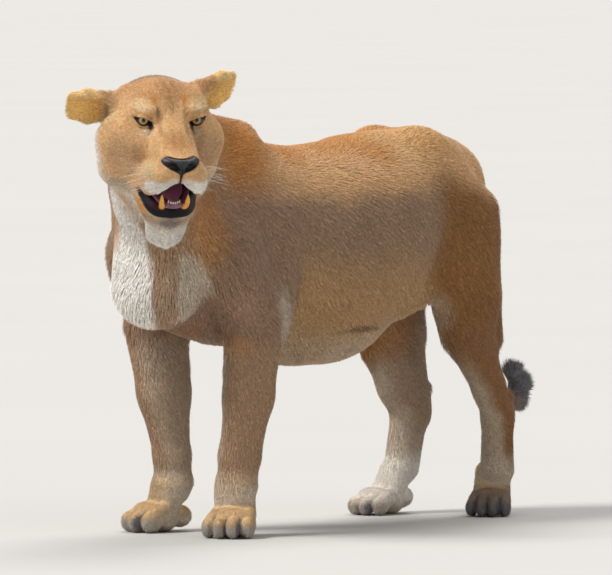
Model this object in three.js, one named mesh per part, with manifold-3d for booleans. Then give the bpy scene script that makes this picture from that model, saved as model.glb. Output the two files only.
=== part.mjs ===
// A lioness standing still, life size, in millimetres: +Z up, facing -Y, her left side towards +X.
// The flesh is one field of rounded lumps, turned into faces in each part's own box and parted by
// thin flat cuts. The outline is that of the coat's tips.
import * as THREE from "three";
import { mergeVertices } from "three/addons/utils/BufferGeometryUtils.js";
import Module from "manifold-3d";

const wasm = await Module();
wasm.setup();

// Driving dimensions
const GAP = 0.6; // thin cut between neighbours
const HEAD_AT = [232, -761, 979]; // midway between the eyes
const HEAD_YAW = 55; // degrees to her left
const HEAD_PITCH = 17; // degrees nose down
const JAW_OPEN = 24; // degrees
const JAW_HINGE = [0, 85, -65]; // in the head's frame
const EYE_AT = [63, 18, 0]; // left eye, in the head's frame
const EYE_RADIUS = 18;
const EARS = [
  { name: "ear_left", root: [108, 138, 22], tip: [85, 50, 3], opening: [0.45, -0.8, -0.3] },
  { name: "ear_right", root: [-118, 130, -5], tip: [-95, 22, -6], opening: [-0.1, -0.9, -0.4] },
];
const PAWS = {
  forepaw_left: { at: [120, -402, 0], yaw: 25 },
  forepaw_right: { at: [-121, -372, 0], yaw: -22 },
  hindpaw_left: { at: [112, 560, 0], yaw: 32 },
  hindpaw_right: { at: [-110, 424, 0], yaw: -4 },
};
const FORE_TOES = { spread: [16, 46], reach: [-84, -64], root: [-22, 54], height: 26, size: [[17, 22], [18, 27]] };
const HIND_TOES = { spread: [14, 40], reach: [-78, -58], root: [-10, 48], height: 23, size: [[15, 20], [16, 24]] };
const TOE_BLEND = 9;
const CARVE = true;
const CANINE = { foot: [26, -103, -112], tip: [31, -102, -73], radius: 7.5 }; // in the jaw's frame
const INCISORS = [[-16, -107, -112], [16, -99, -90]]; // in the jaw's frame
const TONGUE_RINGS = [[40, -108, 30, 8], [20, -106, 34, 11], [-30, -104, 34, 11], [-70, -103, 29, 10],
  [-90, -104, 18, 6]]; // y, z, half width, half depth in the jaw's frame
const EAR_RINGS = [[-24, 36, 24, 0.15], [14, 42, 24, 0.2], [34, 47, 23, 0.75], [54, 50, 21, 0.8], [76, 48, 18, 0.8],
  [92, 36, 14, 0.7], [101, 19, 10, 0.5]]; // height, half width, half depth, hollow
const LATTICE_SHIFTS = [[0, 0, 0], [0, 0.5, 0], [0, 0, 0.5], [0, 0.5, 0.5], [0, 0.25, 0.25], [0, 0.75, 0.25],
  [0, 0.25, 0.75], [0.5, 0, 0.5], [0.5, 0.5, 0], [0.5, 0.25, 0.75], [0.25, 0.1, 0.6], [0.4, 0.8, 0.3]];
const TAIL_STEPS = 2; // rings to each station
const TAIL_SIDES = 10;

// Rounded lumps of flesh: start, end, (half width, half depth) at the start and at the end, blend.
const HEAD = [
  [[0, 90, 0], [0, 148, -6], [90, 72], [94, 68], 40], // braincase
  [[0, 64, -5], [0, 64, -5], [82, 54], [82, 54], 36], // forehead
  [[42, 19, 14], [76, 34, 8], [24, 17], [20, 17], 26], // brow
  [[66, 62, 12], [74, 120, 10], [32, 38], [30, 38], 40], // temple
  [[78, 38, -24], [100, 88, -42], [25, 24], [26, 32], 30], // cheekbone
  [[58, 28, -44], [90, 60, -60], [34, 34], [42, 44], 34], // under the eye
  [[48, 6, -58], [76, 22, -98], [30, 28], [32, 36], 44], // cheek
  [[98, 74, -72], [92, 84, -130], [42, 52], [44, 50], 50], // chewing muscle
  [[98, 110, -82], [88, 118, -144], [49, 49], [46, 46], 44], // ruff
  [[0, 60, -150], [0, 150, -130], [80, 50], [105, 80], 44], // throat
  [[6, 16, -12], [8, -100, -66], [42, 26], [39, 21], 22], // bridge
  [[0, 0, -70], [0, -92, -84], [58, 50], [48, 36], 28], // upper jaw
  [[34, -98, -94], [46, -66, -114], [31, 31], [32, 44], 14], // whisker pad
  [[50, -60, -118], [66, 5, -128], [20, 36], [20, 34], 20], // upper lip
  [[14, -116, -69], [14, -116, -69], [25, 18], [25, 18], 10], // nose
  [[63, -8, 0], [63, -8, 0], [27, 13], [27, 13], 12, CARVE], // eye socket
];
const JAW = [
  [[72, 56, -108], [44, -62, -140], [28, 32], [24, 32], 28], // side of the jaw
  [[0, -80, -146], [0, -86, -206], [54, 32], [48, 32], 24], // chin and beard
  [[28, -80, -130], [28, -80, -130], [28, 30], [28, 30], 20], // lower lip
  [[0, -60, -156], [0, 80, -150], [46, 38], [66, 48], 30], // floor of the mouth
];
const MOUTH = [
  [[0, -125, -127], [0, -60, -124], [11, 17], [22, 20], 8], // cleft of the upper lip
  [[0, -125, -150], [0, -60, -138], [38, 20], [39, 25], 10], // opening
  [[0, -125, -158], [0, -45, -154], [66, 17], [62, 16], 12], // parted lips
  [[0, -60, -138], [0, 10, -116], [50, 32], [40, 12], 10], // back of the mouth
];
const EAR = [
  [[0, 0, -20], [0, 0, 46], [38, 26], [49, 21], 20], // root
  [[0, 0, 46], [0, 2, 82], [49, 21], [43, 15], 20], // rounded tip
  [[0, -21, 12], [0, -18, 84], [31, 21], [39, 16], 8, CARVE], // cup
];
const TRUNK = [
  [[0, -480, 655], [0, -420, 680], [105, 135], [135, 211], 40], // front of the chest
  [[0, -420, 680], [0, -320, 690], [135, 211], [150, 248], 40], // brisket
  [[0, -320, 690], [0, -180, 672], [150, 248], [168, 236], 40], // ribs at the elbow
  [[0, -180, 672], [0, -60, 650], [168, 236], [190, 248], 40], // ribs
  [[0, -60, 650], [0, 40, 650], [190, 248], [203, 258], 40], // belly
  [[0, 40, 650], [0, 180, 706], [203, 258], [194, 220], 40], // flank
  [[0, 180, 706], [0, 290, 740], [194, 220], [164, 192], 40], // loin
  [[0, 290, 740], [0, 390, 765], [164, 192], [140, 165], 40], // hips
  [[0, 390, 765], [0, 480, 790], [140, 165], [112, 124], 40], // croup
  [[0, -60, 550], [0, 0, 554], [210, 160], [206, 158], 60], // paunch
  [[0, 400, 835], [0, 500, 800], [110, 100], [90, 90], 60], // rump
  [[70, 300, 860], [70, 300, 860], [45, 45], [45, 45], 60], // left hip bone
  [[-70, 300, 860], [-70, 300, 860], [45, 45], [45, 45], 60], // right hip bone
  [[44, -438, 934], [16, -280, 919], [54, 58], [46, 52], 60], // withers
  [[16, -570, 584], [22, -540, 690], [108, 94], [110, 98], 60], // breast
  [[0, -430, 770], [34, -560, 842], [136, 194], [110, 160], 60], // neck
  [[34, -560, 842], [88, -660, 884], [110, 160], [98, 112], 60], // nape
];
const LEFT_HIND = [
  [[75, 330, 830], [100, 430, 690], [70, 115], [72, 125], 50], // buttock
  [[105, 400, 700], [128, 440, 540], [76, 148], [64, 105], 40], // thigh
  [[128, 420, 520], [125, 440, 470], [56, 80], [52, 78], 30], // knee
  [[94, 518, 740], [119, 550, 430], [55, 52], [30, 30], 50], // hamstring
  [[125, 450, 460], [120, 540, 310], [50, 78], [34, 46], 40], // shank
  [[120, 540, 310], [118, 572, 245], [34, 46], [34, 42], 30], // hock
  [[117, 600, 285], [117, 588, 230], [24, 26], [28, 30], 24], // point of the hock
  [[118, 575, 235], [114, 580, 110], [38, 40], [42, 42], 30], // foot
  [[125, 190, 540], [118, 310, 570], [28, 50], [28, 50], 50], // flank fold
];
const RIGHT_HIND = [
  [[-75, 330, 830], [-95, 390, 700], [70, 115], [72, 125], 50], // buttock
  [[-100, 380, 700], [-112, 400, 560], [76, 140], [66, 125], 40], // thigh
  [[-112, 395, 540], [-108, 440, 440], [60, 118], [50, 104], 30], // knee
  [[-92, 500, 740], [-106, 520, 440], [55, 48], [28, 28], 50], // hamstring
  [[-107, 450, 420], [-105, 480, 330], [49, 100], [38, 84], 40], // shank
  [[-105, 480, 330], [-104, 512, 250], [38, 84], [38, 56], 30], // hock
  [[-104, 560, 300], [-104, 545, 235], [24, 24], [28, 28], 24], // point of the hock
  [[-104, 512, 245], [-103, 478, 112], [38, 56], [44, 44], 30], // foot
  [[-120, 170, 540], [-112, 300, 560], [28, 50], [28, 50], 50], // flank fold
];
const FOREPAW = [
  [[0, 2, 105], [0, -10, 58], [47, 37], [52, 36], 20], // above the toes
  [[0, -14, 30], [0, -14, 30], [54, 34], [54, 34], 20], // pad
  [[0, 34, 36], [0, 34, 36], [38, 28], [38, 28], 24], // heel
  [[0, -50, 44], [0, -50, 44], [56, 30], [56, 30], 20], // knuckles
];
const HINDPAW = [
  [[0, 40, 100], [0, 8, 56], [44, 40], [46, 34], 20], // above the toes
  [[0, 8, 30], [0, 8, 30], [48, 34], [48, 34], 20], // pad
  [[0, 56, 40], [0, 56, 40], [34, 28], [34, 28], 24], // heel
  [[0, -34, 42], [0, -34, 42], [50, 27], [50, 27], 20], // knuckles
];
// Middle line and radius of the tail; the tuft begins at the seventh station.
const TAIL = [
  [[0, 520, 850], 34], [[4, 590, 800], 27], [[16, 630, 700], 21], [[26, 645, 560], 18],
  [[32, 652, 420], 16], [[34, 668, 325], 15], [[34, 705, 268], 16], [[34, 742, 270], 23],
  [[33, 762, 302], 24], [[32, 742, 330], 19], [[32, 716, 340], 8],
];
// Foreleg stations from the elbow down: point, (half width, half depth).
const LEFT_FORE = [
  [[140, -362, 490], [60, 88]], [[132, -370, 330], [52, 68]], [[122, -390, 190], [47, 50]],
  [[120, -400, 125], [50, 42]], [[120, -410, 95], [50, 38]],
];
const RIGHT_FORE = [
  [[-146, -380, 485], [63, 92]], [[-125, -376, 330], [50, 76]], [[-112, -362, 180], [45, 42]],
  [[-112, -358, 120], [49, 38]], [[-112, -365, 95], [49, 36]],
];

// Coat colours
const COAT = { color: 0xb98a50, roughness: 0.85 };
const PALE = { color: 0xd8bd92, roughness: 0.85 };
const TIP = { color: 0x3a322c, roughness: 0.9 };
const LEATHER = { color: 0x2b2220, roughness: 0.45 };
const EYE = { color: 0xb08a2e, roughness: 0.08 };
const TONGUE = { color: 0x8d4f6a, roughness: 0.4 };

/** A tapering rounded lump, or a hollow when carve is set. */
class Lump {
  constructor(start, end, size, sizeEnd, blend, carve = false) {
    this.start = start;
    this.size = size;
    this.taper = [sizeEnd[0] - size[0], sizeEnd[1] - size[1]];
    this.blend = blend;
    this.carve = carve;
    const along = new THREE.Vector3(...end).sub(new THREE.Vector3(...start));
    this.length = along.length();
    this.axis = this.length > 0 ? along.normalize() : new THREE.Vector3(0, 0, 1);
    const across = new THREE.Vector3(1, 0, 0);
    if (this.length > 0) across.addScaledVector(this.axis, -across.dot(this.axis));
    this.across = across.normalize();
  }

  distance(x, y, z) {
    let qx = x - this.start[0];
    let qy = y - this.start[1];
    let qz = z - this.start[2];
    let t = 0;
    if (this.length > 0) {
      const run = qx * this.axis.x + qy * this.axis.y + qz * this.axis.z;
      t = Math.min(Math.max(run / this.length, 0), 1);
      qx -= t * this.length * this.axis.x;
      qy -= t * this.length * this.axis.y;
      qz -= t * this.length * this.axis.z;
    }
    const side = qx * this.across.x + qy * this.across.y + qz * this.across.z;
    const rest = Math.max(qx * qx + qy * qy + qz * qz - side * side, 0);
    const width = this.size[0] + this.taper[0] * t;
    const depth = this.size[1] + this.taper[1] * t;
    const a = (side / width) ** 2;
    const b = rest / depth ** 2;
    const scale = Math.sqrt(a / width ** 2 + b / depth ** 2) + 1e-6;
    return (Math.sqrt(a + b) * (Math.sqrt(a + b) - 1)) / scale;
  }
}

/** The lesser of two distances, rounded where they meet. */
function smoothMin(a, b, blend) {
  const near = Math.max(blend - Math.abs(a - b), 0) / blend;
  return Math.min(a, b) - (near ** 3 * blend) / 6;
}

/** Lumps in a frame of their own, which may be mirrored left to right. */
class Flesh {
  constructor(rows, blend, matrix = new THREE.Matrix4(), mirrored = false) {
    this.lumps = rows.map((row) => new Lump(...row));
    this.blend = blend;
    this.inverse = matrix.clone().invert();
    this.mirrored = mirrored;
  }

  distance(point) {
    const p = point.clone().applyMatrix4(this.inverse);
    if (this.mirrored) p.x = Math.abs(p.x);
    let total = Infinity;
    for (const lump of this.lumps) {
      const d = lump.distance(p.x, p.y, p.z);
      if (total === Infinity) total = d;
      else if (lump.carve) total = -smoothMin(-total, d, lump.blend);
      else total = smoothMin(total, d, lump.blend);
    }
    return total;
  }
}

/** Placing of a frame from its position and turns in degrees, applied x, then y, then z. */
function placed(position, turns = [0, 0, 0]) {
  const angles = turns.map(THREE.MathUtils.degToRad);
  const rotation = new THREE.Quaternion().setFromEuler(new THREE.Euler(...angles, "ZYX"));
  return new THREE.Matrix4().compose(new THREE.Vector3(...position), rotation, new THREE.Vector3(1, 1, 1));
}

/** Rows that join stations of [point, [half width, half depth]] one after another. */
const chain = (stations, blend) =>
  stations.slice(1).map((to, i) => [stations[i][0], to[0], stations[i][1], to[1], blend]);

/** Rows of one foreleg; side is 1 for the left and -1 for the right. */
function foreleg(side, stations) {
  return [
    [[side * 80, -320, 850], [side * 135, -440, 670], [44, 95], [50, 92], 50], // shoulder blade
    [[side * 137, -440, 660], [side * 142, -345, 510], [56, 84], [58, 88], 50], // upper arm
    [[side * 122, -265, 730], [side * 145, -300, 540], [48, 76], [45, 58], 40], // back of the arm
    [[side * 75, -535, 790], [side * 142, -450, 620], [48, 68], [55, 68], 50], // neck to arm
    ...chain(stations, 28),
  ];
}

/** Rows of the four toes of a paw. */
function toes({ spread, reach, root, height, size }) {
  const rows = [];
  for (const side of [-1, 1]) {
    for (const i of [0, 1]) {
      const x = side * spread[i];
      rows.push([[0.8 * x, ...root], [x, reach[i], height], ...size, TOE_BLEND]);
    }
  }
  return rows;
}

const headFrame = placed(HEAD_AT, [HEAD_PITCH, 0, HEAD_YAW]);
const jawFrame = headFrame
  .clone()
  .multiply(placed(JAW_HINGE))
  .multiply(placed([0, 0, 0], [JAW_OPEN, 0, 0]))
  .multiply(placed(JAW_HINGE.map((v) => -v)));
const pawFrames = {};
for (const [name, { at, yaw }] of Object.entries(PAWS)) pawFrames[name] = placed(at, [0, 0, yaw]);
const tailRoot = chain(TAIL.slice(0, 2).map(([point, radius]) => [point, [radius, radius]]), 20);

const FLESH = [
  new Flesh(TRUNK, 1),
  new Flesh(foreleg(1, LEFT_FORE), 40),
  new Flesh(foreleg(-1, RIGHT_FORE), 40),
  new Flesh(LEFT_HIND, 36),
  new Flesh(RIGHT_HIND, 36),
  new Flesh(HEAD, 50, headFrame, true),
  new Flesh(JAW, 16, jawFrame, true),
  new Flesh([...FOREPAW, ...toes(FORE_TOES)], 14, pawFrames.forepaw_left),
  new Flesh([...FOREPAW, ...toes(FORE_TOES)], 14, pawFrames.forepaw_right),
  new Flesh([...HINDPAW, ...toes(HIND_TOES)], 14, pawFrames.hindpaw_left),
  new Flesh([...HINDPAW, ...toes(HIND_TOES)], 14, pawFrames.hindpaw_right),
  new Flesh(tailRoot, 30),
];
const mouth = new Flesh(MOUTH, 8, headFrame, true);

/** Distance from a point to the outside of the whole body, less than zero within it. */
function body(point) {
  let total = Infinity;
  for (const flesh of FLESH) {
    const d = flesh.distance(point);
    total = total === Infinity ? d : smoothMin(total, d, flesh.blend);
  }
  return -smoothMin(-total, mouth.distance(point), mouth.blend);
}

/** Moves a point onto the field's surface, no further than reach. */
function settle(field, point, reach) {
  for (let pass = 0; pass < 3; pass++) {
    const d = field(point);
    if (Math.abs(d) > reach) return;
    const slope = new THREE.Vector3();
    for (const axis of ["x", "y", "z"]) {
      const probe = point.clone();
      probe[axis] += 0.5;
      slope[axis] = (field(probe) - d) / 0.5;
    }
    point.addScaledVector(slope, -d / Math.max(slope.lengthSq(), 0.2));
  }
}

/** Whether any edge of a geometry is used by more than its two faces. */
function pinched(geometry) {
  const welded = mergeVertices(geometry.clone().deleteAttribute("normal"), 1e-3);
  const faces = welded.index.array;
  const used = new Set();
  for (let i = 0; i < faces.length; i += 3) {
    for (const [a, b] of [[0, 1], [1, 2], [2, 0]]) {
      const key = `${faces[i + a]} ${faces[i + b]}`;
      if (faces[i + a] !== faces[i + b] && used.has(key)) return true;
      used.add(key);
    }
  }
  return false;
}

/** Values of a field on a lattice; its outermost layer counts as outside, which closes the faces. */
class Lattice {
  constructor(field, [low, high], cell) {
    this.field = field;
    this.low = low;
    this.cell = cell;
    this.count = low.map((v, i) => Math.ceil((high[i] - v) / cell[i]) + 1);
    this.step = [this.count[1] * this.count[2], this.count[2], 1];
    this.reach = 0.6 * Math.min(...cell);
    this.value = new Float64Array(this.count[0] * this.step[0]);
    this.nodes((...ijk) => {
      const shut = ijk.some((n, i) => n === 0 || n === this.count[i] - 1);
      this.value[this.at(...ijk)] = shut ? this.reach : field(this.node(...ijk));
    }, 0);
  }

  at(i, j, k) {
    return i * this.step[0] + j * this.step[1] + k;
  }

  node(...ijk) {
    return new THREE.Vector3(...ijk.map((n, i) => this.low[i] + n * this.cell[i]));
  }

  /** Calls visit for every node, leaving out the last few of each row. */
  nodes(visit, less) {
    const [nx, ny, nz] = this.count.map((n) => n - less);
    for (let i = 0; i < nx; i++) {
      for (let j = 0; j < ny; j++) {
        for (let k = 0; k < nz; k++) visit(i, j, k);
      }
    }
  }

  /** The point of the surface in one cell, or null where the surface doesn't cross it. */
  crossing(...ijk) {
    const sum = new THREE.Vector3();
    let crossings = 0;
    for (let corner = 0; corner < 8; corner++) {
      const a = [corner >> 2, (corner >> 1) & 1, corner & 1];
      for (let axis = 0; axis < 3; axis++) {
        if (a[axis] === 1) continue;
        const from = ijk.map((n, i) => n + a[i]);
        const to = from.map((n, i) => (i === axis ? n + 1 : n));
        const [va, vb] = [this.value[this.at(...from)], this.value[this.at(...to)]];
        if (va < 0 === vb < 0) continue;
        sum.add(this.node(...from).lerp(this.node(...to), va / (va - vb)));
        crossings += 1;
      }
    }
    if (crossings === 0) return null;
    sum.divideScalar(crossings);
    settle(this.field, sum, this.reach);
    return sum;
  }

  geometry() {
    const index = new Map();
    const points = [];
    this.nodes((...ijk) => {
      const point = this.crossing(...ijk);
      if (point === null) return;
      index.set(this.at(...ijk), points.length);
      points.push(point);
    }, 1);
    const faces = [];
    this.nodes((...ijk) => {
      const here = this.at(...ijk);
      const inside = this.value[here] < 0;
      for (let axis = 0; axis < 3; axis++) {
        if (inside === this.value[here + this.step[axis]] < 0) continue;
        const u = this.step[(axis + 1) % 3];
        const v = this.step[(axis + 2) % 3];
        const ring = [here - u - v, here - v, here, here - u].map((c) => index.get(c));
        if (!inside) ring.reverse();
        const [a, b, c, d] = ring;
        const across = points[a].distanceTo(points[c]) <= points[b].distanceTo(points[d]);
        faces.push(...(across ? [a, b, c, a, c, d] : [a, b, d, b, c, d]));
      }
    }, 1);
    const geometry = new THREE.BufferGeometry().setFromPoints(points);
    geometry.setIndex(faces);
    return geometry;
  }
}

/** A solid for cutting and joining, made of a closed geometry. */
function solid(geometry) {
  const bare = geometry.clone();
  bare.deleteAttribute("normal");
  bare.deleteAttribute("uv");
  const merged = mergeVertices(bare, 1e-4);
  return new wasm.Manifold(
    new wasm.Mesh({
      numProp: 3,
      vertProperties: new Float32Array(merged.attributes.position.array),
      triVerts: new Uint32Array(merged.index.array),
    }),
  );
}

/** The largest single body of a solid, as a geometry. */
function faces(shape) {
  const bodies = shape.decompose().sort((a, b) => b.volume() - a.volume());
  const mesh = bodies[0].getMesh();
  const geometry = new THREE.BufferGeometry();
  geometry.setAttribute("position", new THREE.Float32BufferAttribute(mesh.vertProperties, 3));
  geometry.setIndex(Array.from(mesh.triVerts));
  geometry.computeVertexNormals();
  return geometry;
}

/** A box between two corners, grown or shrunk by a margin on every side. */
function block([low, high], margin = 0) {
  const size = low.map((v, i) => high[i] - v + 2 * margin);
  const centre = low.map((v, i) => (v + high[i]) / 2);
  return new THREE.BoxGeometry(...size).translate(...centre);
}

/** A cutting block in a frame: kept parts stay half a gap inside it, cut parts half a gap outside. */
class Cut {
  constructor(corners, matrix = new THREE.Matrix4()) {
    this.corners = corners;
    this.matrix = matrix;
  }

  shape(frame, margin) {
    const seen = frame.clone().invert().multiply(this.matrix);
    return solid(block(this.corners, margin).applyMatrix4(seen));
  }
}

/**
 * One part of the body: its faces within a box of a frame, kept within and cut by blocks.
 * The lattice is moved until no two sheets of the part share an edge.
 */
function part({ frame = new THREE.Matrix4(), box, cell, within = [], without = [] }) {
  const field = (point) => body(point.clone().applyMatrix4(frame));
  for (const shift of LATTICE_SHIFTS) {
    const low = box[0].map((v, i) => v - shift[i] * cell[i]);
    let shape = solid(new Lattice(field, [low, box[1]], cell).geometry());
    for (const cut of within) shape = shape.intersect(cut.shape(frame, -GAP / 2));
    for (const cut of without) shape = shape.subtract(cut.shape(frame, GAP / 2));
    if (!pinched(faces(shape))) return shape;
  }
  throw new Error("two sheets of a part share an edge");
}

/** A piece trimmed to keep a gap to its neighbour on every side. */
function clear(piece, neighbour) {
  let shape = piece;
  const steps = [[0, 0, 0]];
  for (const axis of [0, 1, 2]) {
    for (const side of [-GAP, GAP]) {
      const step = [0, 0, 0];
      step[axis] = side;
      steps.push(step);
    }
  }
  for (const step of steps) shape = shape.subtract(solid(faces(neighbour).translate(...step)));
  return shape;
}

/** A closed skin over rings of points, from the first ring to the last. */
function loft(rings) {
  const count = rings[0].length;
  const positions = rings.flat().flatMap((p) => [p.x, p.y, p.z]);
  const triangles = [];
  for (let r = 0; r < rings.length - 1; r++) {
    for (let i = 0; i < count; i++) {
      const a = r * count + i;
      const b = r * count + ((i + 1) % count);
      triangles.push(a, b, a + count, b, b + count, a + count);
    }
  }
  for (const [row, flip] of [[0, true], [rings.length - 1, false]]) {
    const middle = rings[row].reduce((sum, p) => sum.add(p), new THREE.Vector3()).divideScalar(count);
    const centre = positions.length / 3;
    positions.push(middle.x, middle.y, middle.z);
    for (let i = 0; i < count; i++) {
      const a = row * count + i;
      const b = row * count + ((i + 1) % count);
      triangles.push(...(flip ? [b, a, centre] : [a, b, centre]));
    }
  }
  const geometry = new THREE.BufferGeometry();
  geometry.setAttribute("position", new THREE.Float32BufferAttribute(positions, 3));
  geometry.setIndex(triangles);
  return geometry;
}

/** Adds a named mesh to a group. */
function place(group, name, geometry, finish) {
  const material = new THREE.MeshStandardMaterial({ metalness: 0, ...finish });
  const mesh = new THREE.Mesh(geometry, material);
  mesh.name = name;
  group.add(mesh);
  return mesh;
}

/** Group placed by a matrix. */
function groupAt(parent, matrix) {
  const group = new THREE.Group();
  matrix.decompose(group.position, group.quaternion, group.scale);
  parent.add(group);
  return group;
}

const FAR = 1500;

// Cutting blocks
const headCut = new Cut([[-FAR, -FAR, -FAR], [FAR, 0, FAR]],
  headFrame.clone().multiply(placed([0, 178, -60], [-19, 0, 0])));
const jawCut = new Cut([[-300, -300, -300], [300, 55, 0]],
  headFrame.clone().multiply(placed([0, 20, -118], [JAW_OPEN / 2 + 1, 0, 0])));
const neckCut = new Cut([[-FAR, -FAR, -FAR], [FAR, 0, FAR]], placed([0, -495, 770], [-26, 0, 0]));
const chestCut = new Cut([[-FAR, -FAR, -FAR], [FAR, -150, FAR]]);
const rumpCut = new Cut([[-FAR, 230, -FAR], [FAR, FAR, FAR]]);
const noseCut = new Cut([[-40, -220, -92], [40, -113, -48]], headFrame);
const tailCut = new Cut([[-70, 572, 740], [70, 720, 920]]);
const tailKeep = new Cut([[-100, 572, 400], [100, 800, 920]]);

/** A cutting block on one side of the body; side is 1 for the left and -1 for the right. */
function sideCut(side, [x0, x1], [y0, y1], [z0, z1]) {
  const xs = side > 0 ? [x0, x1] : [-x1, -x0];
  return new Cut([[xs[0], y0, z0], [xs[1], y1, z1]]);
}

/** Blocks of the legs of one side. */
function legCuts(side) {
  return {
    upper_arm: sideCut(side, [88, 320], [-580, -205], [468, 790]),
    forearm: sideCut(side, [50, 320], [-540, -240], [132, 468]),
    forepaw: sideCut(side, [20, 320], [-640, -240], [-20, 132]),
    thigh: sideCut(side, [52, 320], [236, 700], [440, 820]),
    shank: sideCut(side, [30, 320], [280, 700], [250, 440]),
    hind_foot: sideCut(side, [20, 320], [280, 700], [92, 250]),
    hindpaw: sideCut(side, [20, 320], [240, 740], [-20, 92]),
  };
}

const root = new THREE.Group();
const floor = new Cut([[-FAR, -FAR, -FAR], [FAR, FAR, -GAP / 2]]);
const legs = { left: legCuts(1), right: legCuts(-1) };
const allLegs = [...Object.values(legs.left), ...Object.values(legs.right)];

// Trunk
place(root, "neck", faces(part({
  box: [[-300, -900, 380], [380, -300, 1140]], cell: [56, 66, 60], within: [neckCut], without: [headCut, ...allLegs],
})), COAT);
place(root, "chest", faces(part({
  box: [[-300, -760, 330], [300, 0, 1060]], cell: [60, 76, 66], within: [chestCut], without: [neckCut, headCut, ...allLegs],
})), COAT);
place(root, "barrel", faces(part({
  box: [[-320, -310, 280], [320, 390, 1040]], cell: [62, 88, 66], without: [chestCut, rumpCut, ...allLegs],
})), COAT);
place(root, "rump", faces(part({
  box: [[-300, 120, 400], [300, 760, 1060]], cell: [58, 70, 64], within: [rumpCut], without: [tailCut, ...allLegs],
})), COAT);

// Legs
const LEG_BOXES = {
  upper_arm: { x: [0, 330], y: [-680, -110], z: [380, 900], cell: [40, 44, 58] },
  forearm: { x: [10, 290], y: [-590, -180], z: [50, 560], cell: [30, 36, 56] },
  thigh: { x: [-30, 330], y: [140, 730], z: [350, 920], cell: [44, 50, 62] },
  shank: { x: [0, 260], y: [240, 720], z: [170, 520], cell: [30, 37, 48] },
  hind_foot: { x: [0, 240], y: [300, 700], z: [30, 330], cell: [28, 32, 44] },
};
const names = Object.keys(LEG_BOXES);
for (const [sideName, side] of [["left", 1], ["right", -1]]) {
  for (const name of names) {
    const { x, y, z, cell } = LEG_BOXES[name];
    const xs = side > 0 ? x : [-x[1], -x[0]];
    const box = [[xs[0], y[0], z[0]], [xs[1], y[1], z[1]]];
    const shape = part({ box, cell, within: [legs[sideName][name]], without: [headCut] });
    place(root, `${name}_${sideName}`, faces(shape), COAT);
  }
  for (const [name, top] of [["forepaw", 132], ["hindpaw", 92]]) {
    const frame = pawFrames[`${name}_${sideName}`];
    const box = [[-120, -150, -50], [120, 140, top + 45]];
    const shape = part({ frame, box, cell: [22, 25, 20], within: [legs[sideName][name]], without: [floor] });
    place(groupAt(root, frame), `${name}_${sideName}`, faces(shape), PALE);
  }
}

// Head
const headGroup = groupAt(root, headFrame);
const headBox = [[-204, -180, -350], [204, 260, 130]];
let skull = part({ frame: headFrame, box: headBox, cell: [22, 25, 22], within: [headCut], without: [jawCut, noseCut] });
for (const side of [-1, 1]) {
  const ball = new THREE.SphereGeometry(EYE_RADIUS, 10, 7).rotateX(Math.PI / 2);
  ball.translate(side * EYE_AT[0], EYE_AT[1], EYE_AT[2]);
  const socket = new THREE.SphereGeometry(EYE_RADIUS + GAP, 10, 7).rotateX(Math.PI / 2);
  socket.translate(side * EYE_AT[0], EYE_AT[1], EYE_AT[2]);
  skull = skull.subtract(solid(socket));
  place(headGroup, side > 0 ? "eye_left" : "eye_right", ball, EYE);
}
place(headGroup, "head", faces(skull), COAT);

// Ears: cupped shells, each ring an outer arc and an inner arc
function earRing([height, width, depth, hollow]) {
  const ring = [];
  const half = 6;
  for (let i = 0; i <= half; i++) {
    const angle = (Math.PI * i) / half;
    ring.push(new THREE.Vector3(width * Math.cos(angle), depth * Math.sin(angle), height));
  }
  for (let i = half - 1; i > 0; i--) {
    const angle = (Math.PI * i) / half;
    const inner = depth * Math.sin(angle) * (hollow * 1.55 - 1);
    ring.push(new THREE.Vector3(0.94 * width * Math.cos(angle), inner, height));
  }
  return ring;
}
for (const { name, root: rootPoint, tip, opening } of EARS) {
  const z = new THREE.Vector3(...tip).normalize();
  const y = new THREE.Vector3(...opening).negate();
  y.addScaledVector(z, -y.dot(z)).normalize();
  const x = new THREE.Vector3().crossVectors(y, z);
  const matrix = new THREE.Matrix4().makeBasis(x, y, z).setPosition(...rootPoint);
  const shell = loft(EAR_RINGS.map(earRing)).applyMatrix4(matrix);
  place(headGroup, name, faces(clear(solid(shell), skull)), COAT);
}

// Nose leather
const nose = part({ frame: headFrame, box: [[-60, -170, -110], [60, -80, -30]], cell: [12, 12, 10], within: [noseCut] });
place(headGroup, "nose", faces(nose), LEATHER);

// Lower jaw with its teeth
const jawPlace = headFrame.clone().invert().multiply(jawFrame);
let jaw = part({ frame: headFrame, box: [[-150, -170, -350], [150, 130, -60]], cell: [17, 20, 17], within: [jawCut, headCut] });
for (const side of [-1, 1]) {
  const foot = new THREE.Vector3(side * CANINE.foot[0], CANINE.foot[1], CANINE.foot[2]);
  const tip = new THREE.Vector3(side * CANINE.tip[0], CANINE.tip[1], CANINE.tip[2]);
  const tooth = new THREE.ConeGeometry(CANINE.radius, foot.distanceTo(tip), 10);
  const turn = new THREE.Quaternion().setFromUnitVectors(new THREE.Vector3(0, 1, 0), tip.clone().sub(foot).normalize());
  tooth.applyQuaternion(turn).translate(...foot.add(tip).multiplyScalar(0.5));
  jaw = jaw.add(solid(tooth.applyMatrix4(jawPlace)));
}
jaw = jaw.add(solid(block(INCISORS).applyMatrix4(jawPlace)));
place(headGroup, "jaw", faces(jaw), PALE);

// Tongue, lying on the floor of the mouth
const tongueRings = TONGUE_RINGS.map(([y, z, width, depth]) => {
  const ring = [];
  for (let i = 0; i < 10; i++) {
    const angle = (2 * Math.PI * i) / 10;
    ring.push(new THREE.Vector3(width * Math.cos(angle), y, z + depth * Math.sin(angle)));
  }
  return ring;
});
const tongue = solid(loft(tongueRings).applyMatrix4(jawPlace));
place(headGroup, "tongue", faces(clear(clear(tongue, jaw), skull)), TONGUE);

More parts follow.
